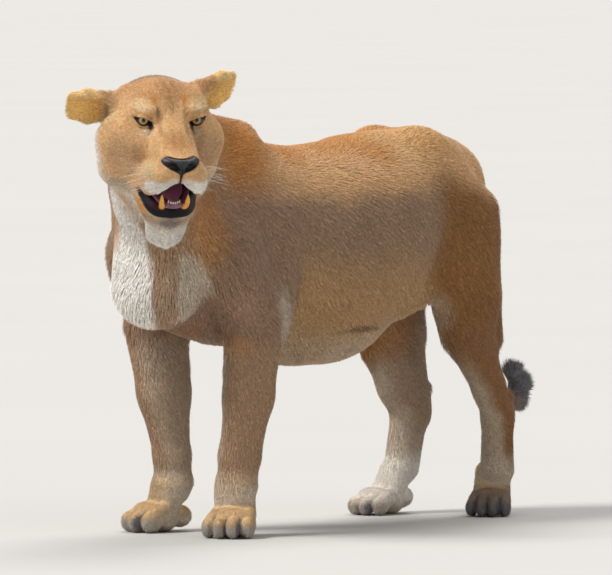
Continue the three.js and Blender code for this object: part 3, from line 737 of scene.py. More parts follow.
class Net:
    """Turns a field's zero level over a box into a surface, one point to each cell that it crosses."""

    BLOCK = 4

    def __init__(self, fn: Field, lo: Sequence[float], hi: Sequence[float], cell: float) -> None:
        """Work out the field near its zero level.

        Args:
            fn: the field.
            lo: lowest corner of the box.
            hi: highest corner.
            cell: size of a cell.
        """
        self.fn = fn
        self.cell = cell
        self.lo = np.asarray(lo, float)
        self.count = np.ceil((np.asarray(hi, float) - self.lo) / cell).astype(int) + 1
        self.values = self.sampled()

    def sampled(self) -> Array:
        """Sample the field coarsely, then finely in the blocks near its zero level.

        Returns:
            The values on the lattice.
        """
        n, k = self.count, self.BLOCK
        blocks = (n + k - 1) // k + 1
        axes = [self.lo[i] + self.cell * k * np.arange(blocks[i]) for i in range(3)]
        coarse = np.stack(np.meshgrid(*axes, indexing="ij"), -1).reshape(-1, 3)
        value = self.fn(coarse.astype(np.float32)).reshape(blocks)
        near = np.abs(value) < self.cell * k * 2.2
        wide = np.zeros(blocks, bool)
        for dx, dy, dz in np.ndindex(2, 2, 2):
            part = near[dx:, dy:, dz:]
            wide[: part.shape[0], : part.shape[1], : part.shape[2]] |= part
        cube = np.ones((k, k, k), bool)
        grid = np.where(np.kron(value > 0, cube), FAR, -FAR)[: n[0], : n[1], : n[2]].astype(np.float32)
        fine = np.kron(wide, cube)[: n[0], : n[1], : n[2]]
        for axis in range(3):
            shifted = np.roll(fine, 1, axis)
            shifted[tuple(slice(0, 1) if i == axis else slice(None) for i in range(3))] = False
            fine = fine | shifted
        index = np.argwhere(fine)
        grid[tuple(index.T)] = self.fn((self.lo + index * self.cell).astype(np.float32))
        return grid

    def surface(self) -> Surface:
        """Make the surface.

        Returns:
            Its triangles, facing outwards.
        """
        g = self.values
        halves = (slice(0, -1), slice(1, None))
        total = np.zeros((*(self.count - 1), 3), np.float32)
        crossings = np.zeros(tuple(self.count - 1), np.float32)
        for axis in range(3):
            for corner in np.ndindex(2, 2, 2):
                if corner[axis]:
                    continue
                ahead = tuple(1 if i == axis else c for i, c in enumerate(corner))
                a = g[tuple(halves[c] for c in corner)]
                b = g[tuple(halves[c] for c in ahead)]
                cross = (a < 0) != (b < 0)
                t = np.where(cross, a / np.where(cross, a - b, 1), 0)
                for i in range(3):
                    total[..., i] += np.where(cross, corner[i] + (t if i == axis else 0), 0)
                crossings += cross
        index = np.argwhere(crossings > 0)
        number = np.full(tuple(self.count - 1), -1, np.int64)
        number[tuple(index.T)] = np.arange(len(index))
        mean = total[tuple(index.T)] / crossings[tuple(index.T)][:, None]
        quads = np.concatenate([self.quads(number, axis) for axis in range(3)])
        faces = np.concatenate([quads[:, [0, 1, 2]], quads[:, [0, 2, 3]]])
        return Surface(self.lo + (index + mean) * self.cell, faces)

    def quads(self, number: Array, axis: int) -> Array:
        """Make a face round each lattice edge that the surface crosses.

        Args:
            number: the point of each cell, or -1.
            axis: the edges' direction.

        Returns:
            Four points to a row.
        """
        inside = self.values < 0
        first = tuple(slice(0, -1) if i == axis else slice(None) for i in range(3))
        second = tuple(slice(1, None) if i == axis else slice(None) for i in range(3))
        edge = np.argwhere(inside[first] != inside[second])
        u, v = (axis + 1) % 3, (axis + 2) % 3
        keep = (edge[:, u] > 0) & (edge[:, v] > 0)
        keep &= (edge[:, u] < self.count[u] - 1) & (edge[:, v] < self.count[v] - 1)
        edge = edge[keep]
        out = ~inside[first][tuple(edge.T)]
        corners = []
        for back in ((1, 1), (0, 1), (0, 0), (1, 0)):
            place = edge.copy()
            place[:, [u, v]] -= back
            corners.append(number[tuple(place.T)])
        quad = np.stack(corners, 1)
        quad[out] = quad[out][:, ::-1]
        return quad


def divided(surface: Surface, chosen: Array) -> Surface:
    """Split the edges of the chosen faces, and their neighbours to match.

    Args:
        surface: what is divided.
        chosen: True for each face to split in four.

    Returns:
        The finer surface.
    """
    f = surface.faces
    count = len(surface.points)
    sides = np.stack([f, np.roll(f, -1, axis=1)], -1)
    sides = np.sort(sides, axis=-1)
    keys = sides[..., 0] * count + sides[..., 1]
    split = np.unique(keys[chosen])
    middles = (surface.points[split // count] + surface.points[split % count]) / 2
    place = np.minimum(np.searchsorted(split, keys), len(split) - 1)
    marked = split[place] == keys
    mid = place + count
    some = marked.sum(1)
    out = [f[some == 0]]
    rows, m = f[some == 3], mid[some == 3]
    out += [np.stack([rows[:, k], m[:, k], m[:, k - 1]], 1) for k in range(3)] + [m]
    for k in range(3):
        one = (some == 1) & marked[:, k]
        a, b, c = (f[one][:, (k + i) % 3] for i in range(3))
        ab = mid[one][:, k]
        out += [np.stack([a, ab, c], 1), np.stack([ab, b, c], 1)]
        two = (some == 2) & ~marked[:, k]
        a, b, c = (f[two][:, (k + i) % 3] for i in range(3))
        bc, ca = mid[two][:, (k + 1) % 3], mid[two][:, (k + 2) % 3]
        out += [np.stack([a, b, bc], 1), np.stack([a, bc, ca], 1), np.stack([ca, bc, c], 1)]
    return Surface(np.concatenate([surface.points, middles]), np.concatenate(out))


def rim(surface: Surface) -> Array:
    """Walk round the open edge of a surface.

    Args:
        surface: a surface with one opening.

    Returns:
        The points of the opening in the order that the faces give.
    """
    f, count = surface.faces, len(surface.points)
    ahead = np.concatenate([f[:, [0, 1]], f[:, [1, 2]], f[:, [2, 0]]])
    keys = ahead[:, 0] * count + ahead[:, 1]
    open_edges = ahead[~np.isin(keys, ahead[:, 1] * count + ahead[:, 0])]
    following = dict(open_edges.tolist())
    longest: list[int] = []
    while following:
        start = next(iter(following))
        loop = [start]
        while (step_on := following.pop(loop[-1], start)) != start:
            loop.append(step_on)
        longest = max(longest, loop, key=len)
    return np.array(longest)


def zipped(points: Array, ring: Array, other: Array) -> Array:
    """Fill the gap between two rims that run side by side.

    Args:
        points: all points.
        ring: the first rim, as its faces walk it.
        other: the second rim, against the way that its faces walk it.

    Returns:
        The faces of the strip.
    """
    i = j = 0
    faces = []
    while i < len(ring) or j < len(other):
        a, b = ring[i % len(ring)], other[j % len(other)]
        next_a, next_b = ring[(i + 1) % len(ring)], other[(j + 1) % len(other)]
        shorter = np.linalg.norm(points[next_a] - points[b]) <= np.linalg.norm(points[a] - points[next_b])
        if j == len(other) or (i < len(ring) and shorter):
            i += 1
            faces.append((next_a, a, b))
        else:
            j += 1
            faces.append((b, next_b, a))
    return np.array(faces)


class Skin:
    """The one skin under the coat, with what the coat needs to know of it."""

    BODY_BOX = ((-290, -960, -4), (430, 830, 1140))  # where the body's net is laid
    BODY_CELL = 10.0
    HEAD_BOX = ((-236, -150, -330), (236, 260, 120))  # the head's, in the head's frame
    HEAD_CELL = 4.6
    NECK = (0, 208, -62)  # where head and body meet, in the head's frame
    NECK_TILT = -28.0
    WELD = 5.0  # half the band that joins head and body

    def __init__(self, anatomy: Anatomy) -> None:
        """Make the surface.

        Args:
            anatomy: the fields.
        """
        self.anatomy = anatomy
        self.surface = self.joined(self.net_of_body(), self.net_of_head())
        LOG.info("skin net: %d faces", len(self.surface.faces))
        self.settle(2)
        for _ in range(2):
            self.refine()
        self.even(2)
        self.open_lids()
        self.normals = self.surface.normals()
        self.lie = self.lie_of_coat()
        self.wet = self.wetness()

    def collar(self) -> tuple[Array, Array]:
        """Give the plane where head and body meet."""
        normal = self.anatomy.head.turned @ turn("x", self.NECK_TILT) @ np.array([0, -1.0, 0])
        return self.anatomy.head.world(self.NECK), normal

    def net_of_body(self) -> Surface:
        """Make the body behind the head."""
        return Net(self.anatomy.skin, *self.BODY_BOX, self.BODY_CELL).surface()

    def net_of_head(self) -> Surface:
        """Make the head on a lattice of its own.

        Returns:
            Its surface in the body's frame.
        """
        surface = Net(self.anatomy.skin_of_head, *self.HEAD_BOX, self.HEAD_CELL).surface()
        surface.points = self.anatomy.head.world(surface.points)
        return surface

    def joined(self, body: Surface, head: Surface) -> Surface:
        """Cut body and head at the collar and join them.

        Args:
            body: the body's surface.
            head: the head's surface.

        Returns:
            One surface.
        """
        body = self.cut(body, 1, 0.4 * self.BODY_CELL)
        head = self.cut(head, -1, 0.4 * self.HEAD_CELL)
        points = np.concatenate([body.points, head.points])
        ring, other = rim(body), rim(head)[::-1] + len(body.points)
        other = np.roll(other, -int(lengths(points[other] - points[ring[0]]).argmin()))
        strip = zipped(points, ring, other)
        return Surface(points, np.concatenate([body.faces, head.faces + len(body.points), strip]))

    def cut(self, surface: Surface, side: int, least: float) -> Surface:
        """Cut a surface at the collar and keep its largest piece on one side.

        Args:
            surface: what is cut.
            side: 1 to keep the body and -1 to keep the head.
            least: points of the rim closer together than this become one.

        Returns:
            The piece that is kept.
        """
        point, normal = self.collar()
        part = bpy.data.meshes.new("part")
        part.from_pydata(surface.points.tolist(), [], surface.faces.tolist())
        mesh = bmesh.new()
        mesh.from_mesh(part)
        bpy.data.meshes.remove(part)
        bmesh.ops.bisect_plane(
            mesh,
            geom=[*mesh.verts, *mesh.edges, *mesh.faces],
            plane_co=Vector(point - side * normal * self.WELD),
            plane_no=Vector(side * normal),
            clear_outer=True,
        )
        bmesh.ops.delete(mesh, geom=self.loose(mesh), context="VERTS")
        edge = [v for v in mesh.verts if v.is_boundary]
        bmesh.ops.remove_doubles(mesh, verts=edge, dist=least)
        bmesh.ops.triangulate(mesh, faces=mesh.faces[:])
        mesh.verts.index_update()
        kept = Surface(
            np.array([v.co[:] for v in mesh.verts]),
            np.array([[v.index for v in f.verts] for f in mesh.faces]),
        )
        mesh.free()
        return kept

    def loose(self, mesh: bmesh.types.BMesh) -> list:
        """Find what a cut left beside the piece that is kept.

        Args:
            mesh: the cut mesh.

        Returns:
            Corners of every piece but the largest.
        """
        left, pieces = set(mesh.verts), []
        while left:
            piece, stack = set(), [left.pop()]
            while stack:
                vert = stack.pop()
                piece.add(vert)
                new = {edge.other_vert(vert) for edge in vert.link_edges} & left
                left -= new
                stack += new
            pieces.append(piece)
        largest = max(pieces, key=len)
        return [vert for vert in mesh.verts if vert not in largest]

    def spacing(self, p: Array) -> Array:
        """Give the size that faces should have.

        Args:
            p: points.

        Returns:
            The longest edge allowed.
        """
        q = self.anatomy.head.local(p)
        near_head = lengths(q - np.array([0, 40, -60])) < 260
        size = np.full(len(p), 21.0)
        size = np.where(p[:, 2] < 120, 9.5, size)
        size = np.where((p[:, 1] > 640) & (p[:, 2] < 400), 10.0, size)
        muzzle = near_head & (q[:, 1] < -40) & (np.abs(q[:, 0]) < 80)
        size = np.where(near_head, 9.0, size)
        size = np.where(muzzle, 4.6, size)
        for side in (1, -1):
            eye = lengths(q - np.array([side * EYE_AT[0], 0, 0]))
            size = np.where(eye < 36, 2.1, size)
        return size

    def refine(self) -> None:
        """Divide faces that are too large, then settle them."""
        s = self.surface
        a, b, c = s.corners()
        long = np.maximum.reduce([lengths(a - b), lengths(b - c), lengths(c - a)])
        self.surface = divided(s, long > self.spacing((a + b + c) / 3))
        self.settle(2, slice(len(s.points), None))
        LOG.info("skin refined: %d faces", len(self.surface.faces))

    def settle(self, rounds: int, which: slice = slice(None)) -> None:
        """Move the points, or some of them, onto the skin."""
        p = self.surface.points
        p[which] = settled(self.anatomy.skin, p[which], rounds)

    def even(self, rounds: int) -> None:
        """Spread the points evenly, keeping them on the skin."""
        for _ in range(rounds):
            self.surface.points = self.surface.smoothed(self.surface.points, 1, 0.6)
            self.settle(1)

    def open_lids(self) -> None:
        """Form the eyelids round the eyeballs and open them."""
        q = self.anatomy.head.local(self.surface.points)
        for side in (1, -1):
            lids = Lids(side)
            away = lids.frame(q)
            radius = np.maximum(lengths(away), 1e-6)
            gap = lids.gap(away)
            front = step(0.1, 0.5, away[:, 1] / radius) * step(42, 33, radius)
            wanted = radius + (EYE_RADIUS + 2.6 - radius) * front * step(15, 3, gap)
            wanted = wanted + (EYE_RADIUS - 4.5 - wanted) * front * step(0.8, -0.6, gap)
            q = q + ((wanted / radius - 1)[:, None] * away) @ lids.axes()
        self.surface.points = self.anatomy.head.world(q)

    def lie_of_coat(self) -> Array:
        """Find which way the hair lies: away from the nose, over the skin.

        Returns:
            A unit vector at each point of the skin.
        """
        s = self.surface
        e = s.edges()
        length = lengths(s.points[e[:, 0]] - s.points[e[:, 1]])
        order = np.argsort(np.concatenate([e[:, 0], e[:, 1]]), kind="stable")
        owner = np.concatenate([e[:, 0], e[:, 1]])[order]
        other = np.concatenate([e[:, 1], e[:, 0]])[order].tolist()
        cost = np.concatenate([length, length])[order].tolist()
        first = np.searchsorted(owner, np.arange(len(s.points) + 1)).tolist()
        nose = self.anatomy.head.world((0, -134, -60))
        start = int(lengths(s.points - nose).argmin())
        far = [math.inf] * len(s.points)
        far[start] = 0.0
        queue = [(0.0, start)]
        while queue:
            d, i = heapq.heappop(queue)
            if d > far[i]:
                continue
            for k in range(first[i], first[i + 1]):
                j = other[k]
                t = d + cost[k]
                if t < far[j]:
                    far[j] = t
                    heapq.heappush(queue, (t, j))
        value = np.array(far)[:, None]
        value[~np.isfinite(value)] = 0
        value = s.smoothed(value, 8, 0.9)[:, 0]
        a, b, c = s.corners()
        fa, fb, fc = s.corners(value)
        n = np.cross(b - a, c - a)
        area = np.maximum((n * n).sum(1), 1e-9)
        slope = (fa[:, None] * np.cross(n, c - b) + fb[:, None] * np.cross(n, a - c)
                 + fc[:, None] * np.cross(n, b - a)) / area[:, None]
        lie = normalized(s.gather(np.repeat(slope, 3, axis=0), s.faces.ravel()))
        lie[:, 2] -= 0.25
        lie = s.smoothed(lie, 12, 0.8)
        lie -= (lie * self.normals).sum(1)[:, None] * self.normals
        return normalized(lie)

    def wetness(self) -> Array:
        """Find where the skin is bare: in the mouth, on the lips, lids and nose.

        Returns:
            Values from 0 to 1.
        """
        p = self.surface.points
        q, j = self.anatomy.head.local(p), self.anatomy.jaw.local(p)
        inside, mouth = self.anatomy.opening(p)
        wet = step(4, 1.5, mouth) * step(4, 6, inside) + floor_of_mouth(q, j, mouth) + lower_lip(j)
        wet += step(1.5, -0.5, nose_mask(q)) * step(200, 190, lengths(q))
        for side in (1, -1):
            away = Lids(side).frame(q)
            wet += step(38, 32, lengths(away)) * step(4.4, 2.6, Lids.gap(away))
        return np.clip(wet, 0, 1)


def floor_of_mouth(q: Array, j: Array, mouth: Array) -> Array:
    """Find the floor of the open mouth."""
    low = step(-122, -114, j[:, 2]) * step(58, 48, np.abs(j[:, 0])) * step(-138, -145, q[:, 2])
    return low * step(40, 34, mouth) * (q[:, 2] > -200) * step(-140, -110, j[:, 1]) * step(60, 50, q[:, 1])


def lower_lip(j: Array) -> Array:
    """Find the bare band along the lower lip.

    Args:
        j: points in the jaw's frame.

    Returns:
        Values from 0 to 1.
    """
    x = np.abs(j[:, 0])
    edge = -139 + 0.12 * x + 0.16 * (j[:, 1] + 110)
    height = step(edge - 3, edge, j[:, 2]) * step(-88, -92, j[:, 2])
    return height * step(-20, -40, j[:, 1]) * step(76, 68, x)


@dataclass(frozen=True)
class Lids:
    """The opening between the lids of one eye."""

    side: int  # 1 for the left eye and -1 for the right
    HALF = 17.5  # half length of the opening
    UPPER = 4.0  # height of the upper lid's arch
    LOWER = 6.6  # depth of the lower lid's
    SLANT = 16.0  # degrees that the outer corner stands above the inner
    TOWARD = 9.0  # degrees that the eye faces outwards

    def axes(self) -> Array:
        """Give the eye's own axes.

        Returns:
            Outwards, forwards and upwards as rows, in the head's frame.
        """
        slant, toward, s = math.radians(self.SLANT), math.radians(self.TOWARD), self.side
        forward = np.array([s * math.sin(toward), -math.cos(toward), 0])
        level = np.array([s * math.cos(toward), math.sin(toward), 0])
        rise = np.array([0, 0, 1.0])
        out = math.cos(slant) * level + math.sin(slant) * rise
        up = math.cos(slant) * rise - math.sin(slant) * level
        return np.stack([out, forward, up])

    def frame(self, q: Array) -> Array:
        """Change head points to the eye's axes."""
        return (q - np.array([self.side * EYE_AT[0], EYE_AT[1], EYE_AT[2]])) @ self.axes().T

    @classmethod
    def gap(cls, away: Array) -> Array:
        """Give the distance to the edge of the opening, negative within it.

        Args:
            away: points on the eye's axes.

        Returns:
            Millimetres, seen from the front.
        """
        u, v = away[:, 0], away[:, 2]
        arcs = []
        for sense, h in ((1, cls.UPPER), (-1, cls.LOWER)):
            radius = (cls.HALF**2 + h * h) / (2 * h)
            arcs.append(np.hypot(u, sense * v + radius - h) - radius)
        almond = np.maximum(*arcs)
        along = np.clip(((u + 16) * -9 + (v + 1) * -8) / 145, 0, 1)
        duct = np.hypot(u + 16 + 9 * along, v + 1 + 8 * along) - 1.5
        return np.where(away[:, 1] > 0, np.minimum(almond, duct), 99.0)


# ---- colours


def linear(red: int, green: int, blue: int) -> Array:
    """Change a display colour to the linear one that shaders use."""
    c = np.array([red, green, blue]) / 255
    return np.where(c <= 0.04045, c / 12.92, ((c + 0.055) / 1.055) ** 2.4)


# The colours of skin and coat.
FLANK = linear(162, 132, 104)
SHOULDER = linear(160, 128, 104)
THIGH = linear(146, 100, 54)
LOW_FLANK = linear(190, 150, 102)
BACK = linear(222, 172, 120)
SADDLE = linear(190, 122, 48)
FORELEG = linear(172, 138, 108)
SHANK = linear(146, 104, 68)
TAN = linear(186, 152, 114)
PALE = linear(216, 200, 178)
WHITE = linear(248, 242, 232)
CROWN = linear(204, 152, 102)
FACE = linear(226, 178, 126)
BRIDGE = linear(200, 144, 88)
CHEEK = linear(190, 152, 116)
ORANGE = linear(206, 134, 56)
RUST = linear(140, 88, 42)
BROWN = linear(92, 62, 40)
GREY = linear(168, 164, 160)
SMOKE = linear(84, 86, 96)
DARK = linear(44, 42, 48)
LIP = linear(3, 3, 8)
LINING = linear(96, 34, 52)
AMBER = linear(255, 202, 120)
CREAM = linear(236, 206, 152)

Marks = list[tuple[Array, Array]]


def paint(colours: Array, marks: Marks) -> None:
    """Lay marks over colours."""
    for tone, mask in marks:
        colours += (tone - colours) * np.clip(mask, 0, 1)[:, None]


class Markings:
    """The colour of skin and coat at any place."""

    def __init__(self, anatomy: Anatomy) -> None:
        """Keep the fields."""
        self.anatomy = anatomy

    def colour(self, p: Array, n: Array) -> Array:
        """Give the colour.

        Args:
            p: points of the skin.
            n: its normals there.

        Returns:
            Linear red, green and blue, one row to a point.
        """
        c = np.tile(FLANK, (len(p), 1))
        for marks in (self.of_body, self.of_chest, self.of_legs, self.of_paws, self.of_tail):
            paint(c, marks(p, n))
        near = lengths(self.anatomy.head.local(p) - np.array([0, 50, -80])) < 300
        part = c[near]
        for marks in (self.of_head, self.of_muzzle, self.of_ears, self.of_bare_skin):
            paint(part, marks(p[near], n[near]))
        c[near] = part
        return c

    def of_body(self, p: Array, n: Array) -> Marks:
        """List the marks of back, flanks and belly.

        Args:
            p: points.
            n: normals.

        Returns:
            The marks in the order of painting.
        """
        y, z = p[:, 1], p[:, 2]
        m = folded(p)
        high = step(0.1, 0.75, n[:, 2])
        ripple = 8 * np.sin(0.021 * y + 0.013 * z) + 6 * np.sin(0.043 * y - 0.02 * z + 1)
        return [
            (LOW_FLANK, 0.8 * step(700, 560, z + ripple) * step(-300, -200, y)),
            (THIGH, 0.9 * step(240, 330, y + ripple) * step(900, 800, z)),
            (SHOULDER, step(-200, -260, y + ripple) * step(860, 780, z)),
            # partly her colour, partly painted light: a paler back, spread further down where the skin
            # faces up
            (BACK, 0.9 * step(780, 880, z + 60 * high + ripple) * step(-420, -300, y)),
            (SADDLE, 0.75 * high * step(850, 905, z + ripple) * step(-480, -400, y) * step(520, 400, y)),
            (SADDLE, 0.75 * spot(m, (80, -400, 880), (120, 170, 150))),
            (RUST, 0.35 * spot(p, (110, -520, 800), (60, 60, 90))),
            # painted sheen: cream on the up-facing top of the rump
            (CREAM, 0.3 * high * spot(p, (80, 290, 920), (150, 230, 120))),
            (PALE, 0.35 * step(-0.35, -0.85, n[:, 2]) * step(560, 470, z) * step(-420, -360, y)),
            (BROWN, 0.7 * spread_out(spot(p, (184, -20, 480), (50, 110, 8)))),
            (PALE, 0.35 * spot(p, (120, 320, 500), (60, 90, 90))),
        ]

    def of_chest(self, p: Array, n: Array) -> Marks:
        """List the marks of chest, throat and elbows.

        Args:
            p: points.
            n: normals.

        Returns:
            The marks in the order of painting.
        """
        y, z = p[:, 1], p[:, 2]
        front = step(-0.05, -0.5, n[:, 1])
        return [
            (TAN, 0.5 * step(-480, -560, y) * step(470, 520, z) * step(820, 760, z) * front),
            (WHITE, spread_out(spot(p, (-20, -660, 590), (128, 150, 190)))),
            (WHITE, 0.9 * spread_out(spot(p, (30, -690, 740), (46, 110, 150)))),
            (PALE, 0.75 * spread_out(spot(p, (122, -590, 580), (60, 110, 130)))),
            (FORELEG, 0.8 * spread_out(spot(p, (92, -630, 610), (26, 90, 170)))),
            (ORANGE, 0.6 * spot(p, (-60, -650, 740), (60, 110, 90))),
            (RUST, 0.45 * spot(p, (60, -500, 480), (130, 90, 34))),
            (RUST, 0.8 * spot(p, (118, -446, 476), (52, 44, 24))),
            (ORANGE, 0.7 * spot(p, (158, -440, 450), (46, 50, 34))),
            (RUST, 0.5 * spot(p, (-170, -430, 480), (40, 60, 40))),
            (ORANGE, 0.4 * spot(p, (150, -540, 740), (60, 70, 130))),
            (PALE, 0.6 * spot(p, (200, -316, 520), (50, 40, 100))),
        ]

    def of_legs(self, p: Array, n: Array) -> Marks:
        """List the marks of the legs above the paws.

        Args:
            p: points.
            n: normals.

        Returns:
            The marks in the order of painting.
        """
        x, y, z = p.T
        inner = step(0.1, -0.7, n[:, 0] * np.sign(x))
        fore = step(500, 430, z) * step(-200, -250, y)
        hind = step(560, 440, z) * step(330, 380, y)
        return [
            (FORELEG, 0.9 * fore),
            (SHANK, 0.95 * hind),
            (PALE, 0.4 * (fore + hind) * inner),
            (ORANGE, 0.45 * spot(p, (-70, 380, 480), (70, 120, 130))),
            (PALE, 0.6 * hind * step(-0.2, -0.8, n[:, 1]) * step(440, 300, z)),
            (PALE, 0.6 * hind * step(0, -40, x) * step(260, 120, z)),
            (PALE, 0.7 * spot(p, (-104, 540, 560), (60, 60, 160))),
        ]

    def of_paws(self, p: Array, n: Array) -> Marks:
        """List the marks of the paws: warm above, grey in front, with painted shade between the toes.

        Args:
            p: points.
            n: normals.

        Returns:
            The marks in the order of painting.
        """
        z = p[:, 2]
        out = []
        for place, group in zip(PAWS, self.anatomy.paws):
            q = group.local(p)
            near = step(160, 120, np.hypot(q[:, 0], q[:, 1])) * step(170, 120, z)
            front = step(-40, -70, q[:, 1])
            toes = FORE_TOES if place.fore else HIND_TOES
            x = np.abs(q[:, 0])
            between = (toes.spread[0] + toes.spread[1]) / 2
            # the clefts between the toes, where shade is painted
            cleft = np.maximum(step(6, 2, np.abs(x - between)), step(5, 2, x))
            out += [
                (CREAM, 0.55 * near * step(0.0, 0.5, n[:, 2])),
                (FACE, 0.55 * near * step(0.3, 0.8, n[:, 2])),
                (PALE, 0.8 * near * step(0.35, -0.1, n[:, 2])),
                (GREY, 0.7 * near * front * step(44, 20, z)),
                # painted shade in the clefts between the toes
                (SMOKE, 0.75 * near * step(-34, -50, q[:, 1]) * cleft * step(58, 40, z)),
                (BROWN, 0.6 * near * step(14, 4, z)),
            ]
            # partly dirt, partly painted shade: smoky dark over the front and low part of the left hind paw
            if not place.fore and place.at[0] > 0:
                out.append((SMOKE, 0.7 * near * step(60, 0, q[:, 1]) * step(90, 50, z)))
            # painted light: the right hind paw is made white above the toes to look lit, though the body
            # shades it
            if not place.fore and place.at[0] < 0:
                out.append((WHITE, 0.75 * near * step(24, 44, z)))
        return out

    def of_tail(self, p: Array, n: Array) -> Marks:
        """List the marks of the tail.

        Args:
            p: points.
            n: normals.

        Returns:
            The marks in the order of painting.
        """
        tail = step(20, 8, self.anatomy.tail.distance(p)) * step(600, 640, p[:, 1])
        along = p[:, 1] + 0.25 * (330 - p[:, 2])
        return [
            (TAN, tail),
            (SMOKE, tail * step(700, 724, along)),
            (GREY, 0.3 * tail * step(700, 724, along)),
            (TAN, 0.35 * tail * spot(p, (34, 716, 266), (60, 24, 30))),
        ]

    def of_head(self, p: Array, n: Array) -> Marks:
        """List the marks of forehead, cheeks and ruff.

        Args:
            p: points.
            n: normals.

        Returns:
            The marks in the order of painting.
        """
        q, m, _ = self.frames(p)
        face = step(140, 70, q[:, 1]) * step(250, 205, lengths(q - np.array([0, 30, -50])))
        wave = np.sin(0.31 * q[:, 0] + 3 * np.sin(0.09 * q[:, 1]))
        freckle = 0.5 + 0.5 * wave * np.sin(0.23 * q[:, 1] + 1)
        return [
            (FACE, face),
            (CROWN, 0.9 * step(150, 120, q[:, 1]) * step(26, 52, q[:, 2] + 0.1 * q[:, 1])),
            (BROWN, 0.4 * spot(q, (4, 60, 66), (34, 70, 34)) * freckle),
            (BROWN, 0.35 * spot(q, (0, 14, 30), (16, 30, 36)) * freckle),
            (CHEEK, 0.75 * spot(m, (92, 30, -80), (64, 76, 62))),
            (BROWN, 0.3 * spot(m, (80, 0, -70), (34, 50, 34)) * freckle),
            (BRIDGE, 0.75 * spot(m, (0, -50, -34), (46, 80, 34))),
            (BROWN, 0.28 * spot(m, (14, -50, -34), (44, 70, 34)) * freckle),
            (WHITE, 0.95 * spot(m, (128, 118, -110), (52, 66, 96))),
            (PALE, 0.8 * spot(m, (96, 96, -170), (80, 90, 60))),
            (CREAM, 0.5 * spot(m, (70, 22, 36), (46, 34, 18))),
            (PALE, 0.2 * spot(m, (72, 14, 26), (30, 30, 9))),
            (ORANGE, 0.75 * spot(m, (36, 26, 42), (10, 22, 22))),
            (BROWN, 0.5 * spot(m, (32, 8, 16), (8, 20, 22))),
            (PALE, 0.5 * spot(m, (50, -4, -25), (26, 26, 13))),
            # painted shade: darker patches on her left cheek only, the side turned away from the key light
            (CHEEK, 0.6 * spot(q, (70, -10, -60), (44, 50, 60))),
            (BROWN, 0.35 * spot(q, (56, -14, -40), (24, 44, 60))),
            (BROWN, 0.45 * spot(m, (30, -24, -24), (8, 30, 26))),
        ]

    def frames(self, p: Array) -> tuple[Array, Array, Array]:
        """Change body points to the head's frames."""
        q, j = self.anatomy.head.local(p), self.anatomy.jaw.local(p)
        return q, folded(q), j

    def of_muzzle(self, p: Array, n: Array) -> Marks:
        """List the marks of whisker pads, lips and chin.

        Args:
            p: points.
            n: normals.

        Returns:
            The marks in the order of painting.
        """
        _, m, j = self.frames(p)
        mj = folded(j)
        chin = step(-112, -126, j[:, 2]) * step(40, 0, j[:, 1]) * step(-262, -240, j[:, 2])
        rows = 0.5 + 0.5 * np.cos((m[:, 2] + 0.16 * m[:, 1]) * 2 * np.pi / 8.5)
        dots = rows**6 * (0.5 + 0.5 * np.cos(m[:, 1] * 2 * np.pi / 9)) ** 3
        pads = spot(m, (50, -84, -100), (34, 44, 26))
        return [
            (FACE, 0.9 * spot(m, (44, -80, -84), (46, 56, 30))),
            (CREAM, 0.6 * spot(m, (54, -70, -92), (34, 50, 24))),
            (CREAM, 0.5 * spot(m, (52, -88, -92), (44, 50, 30))),
            (BROWN, 0.45 * pads * rows**5),
            (WHITE, 0.95 * spread_out(spot(m, (36, -96, -122), (52, 60, 30)))),
            (WHITE, 0.8 * spot(m, (20, -112, -106), (34, 28, 22))),
            # painted shade: grey over the white just below the nose
            (GREY, 0.35 * spot(m, (14, -110, -112), (26, 30, 18))),
            (BROWN, 0.8 * pads * dots),
            (PALE, chin),
            (TAN, 0.6 * chin * step(-178, -150, j[:, 2])),
            (WHITE, 0.9 * chin * step(-156, -186, j[:, 2])),
            (ORANGE, 0.7 * spot(mj, (62, -60, -140), (18, 50, 40))),
            (SMOKE, 0.65 * spot(mj, (0, -116, -152), (48, 30, 19))),
        ]

    def of_ears(self, p: Array, n: Array) -> Marks:
        """List the marks of the ears.

        Args:
            p: points.
            n: normals.

        Returns:
            The marks in the order of painting.
        """
        out = []
        for ear in self.anatomy.ears:
            e = ear.local(p)
            on = step(14, 2, ear.distance(p)) * step(4, 22, e[:, 2])
            facing = (n @ ear.turned)[:, 1]
            out += [
                (AMBER, on),
                (ORANGE, 0.35 * on * step(-0.1, -0.6, facing) * step(60, 20, e[:, 2])),
                (CROWN, 0.7 * on * step(0.3, 0.8, facing)),
                (BROWN, 0.4 * on * step(0.5, 0.9, facing) * step(66, 40, e[:, 2])),
                (CREAM, 0.6 * on * step(28, 42, np.abs(e[:, 0])) * step(0.3, -0.2, facing)),
                (CREAM, 0.5 * on * step(80, 94, e[:, 2])),
                (CREAM, 0.8 * spot(e, (0, -40, -6), (44, 34, 40))),
            ]
        return out

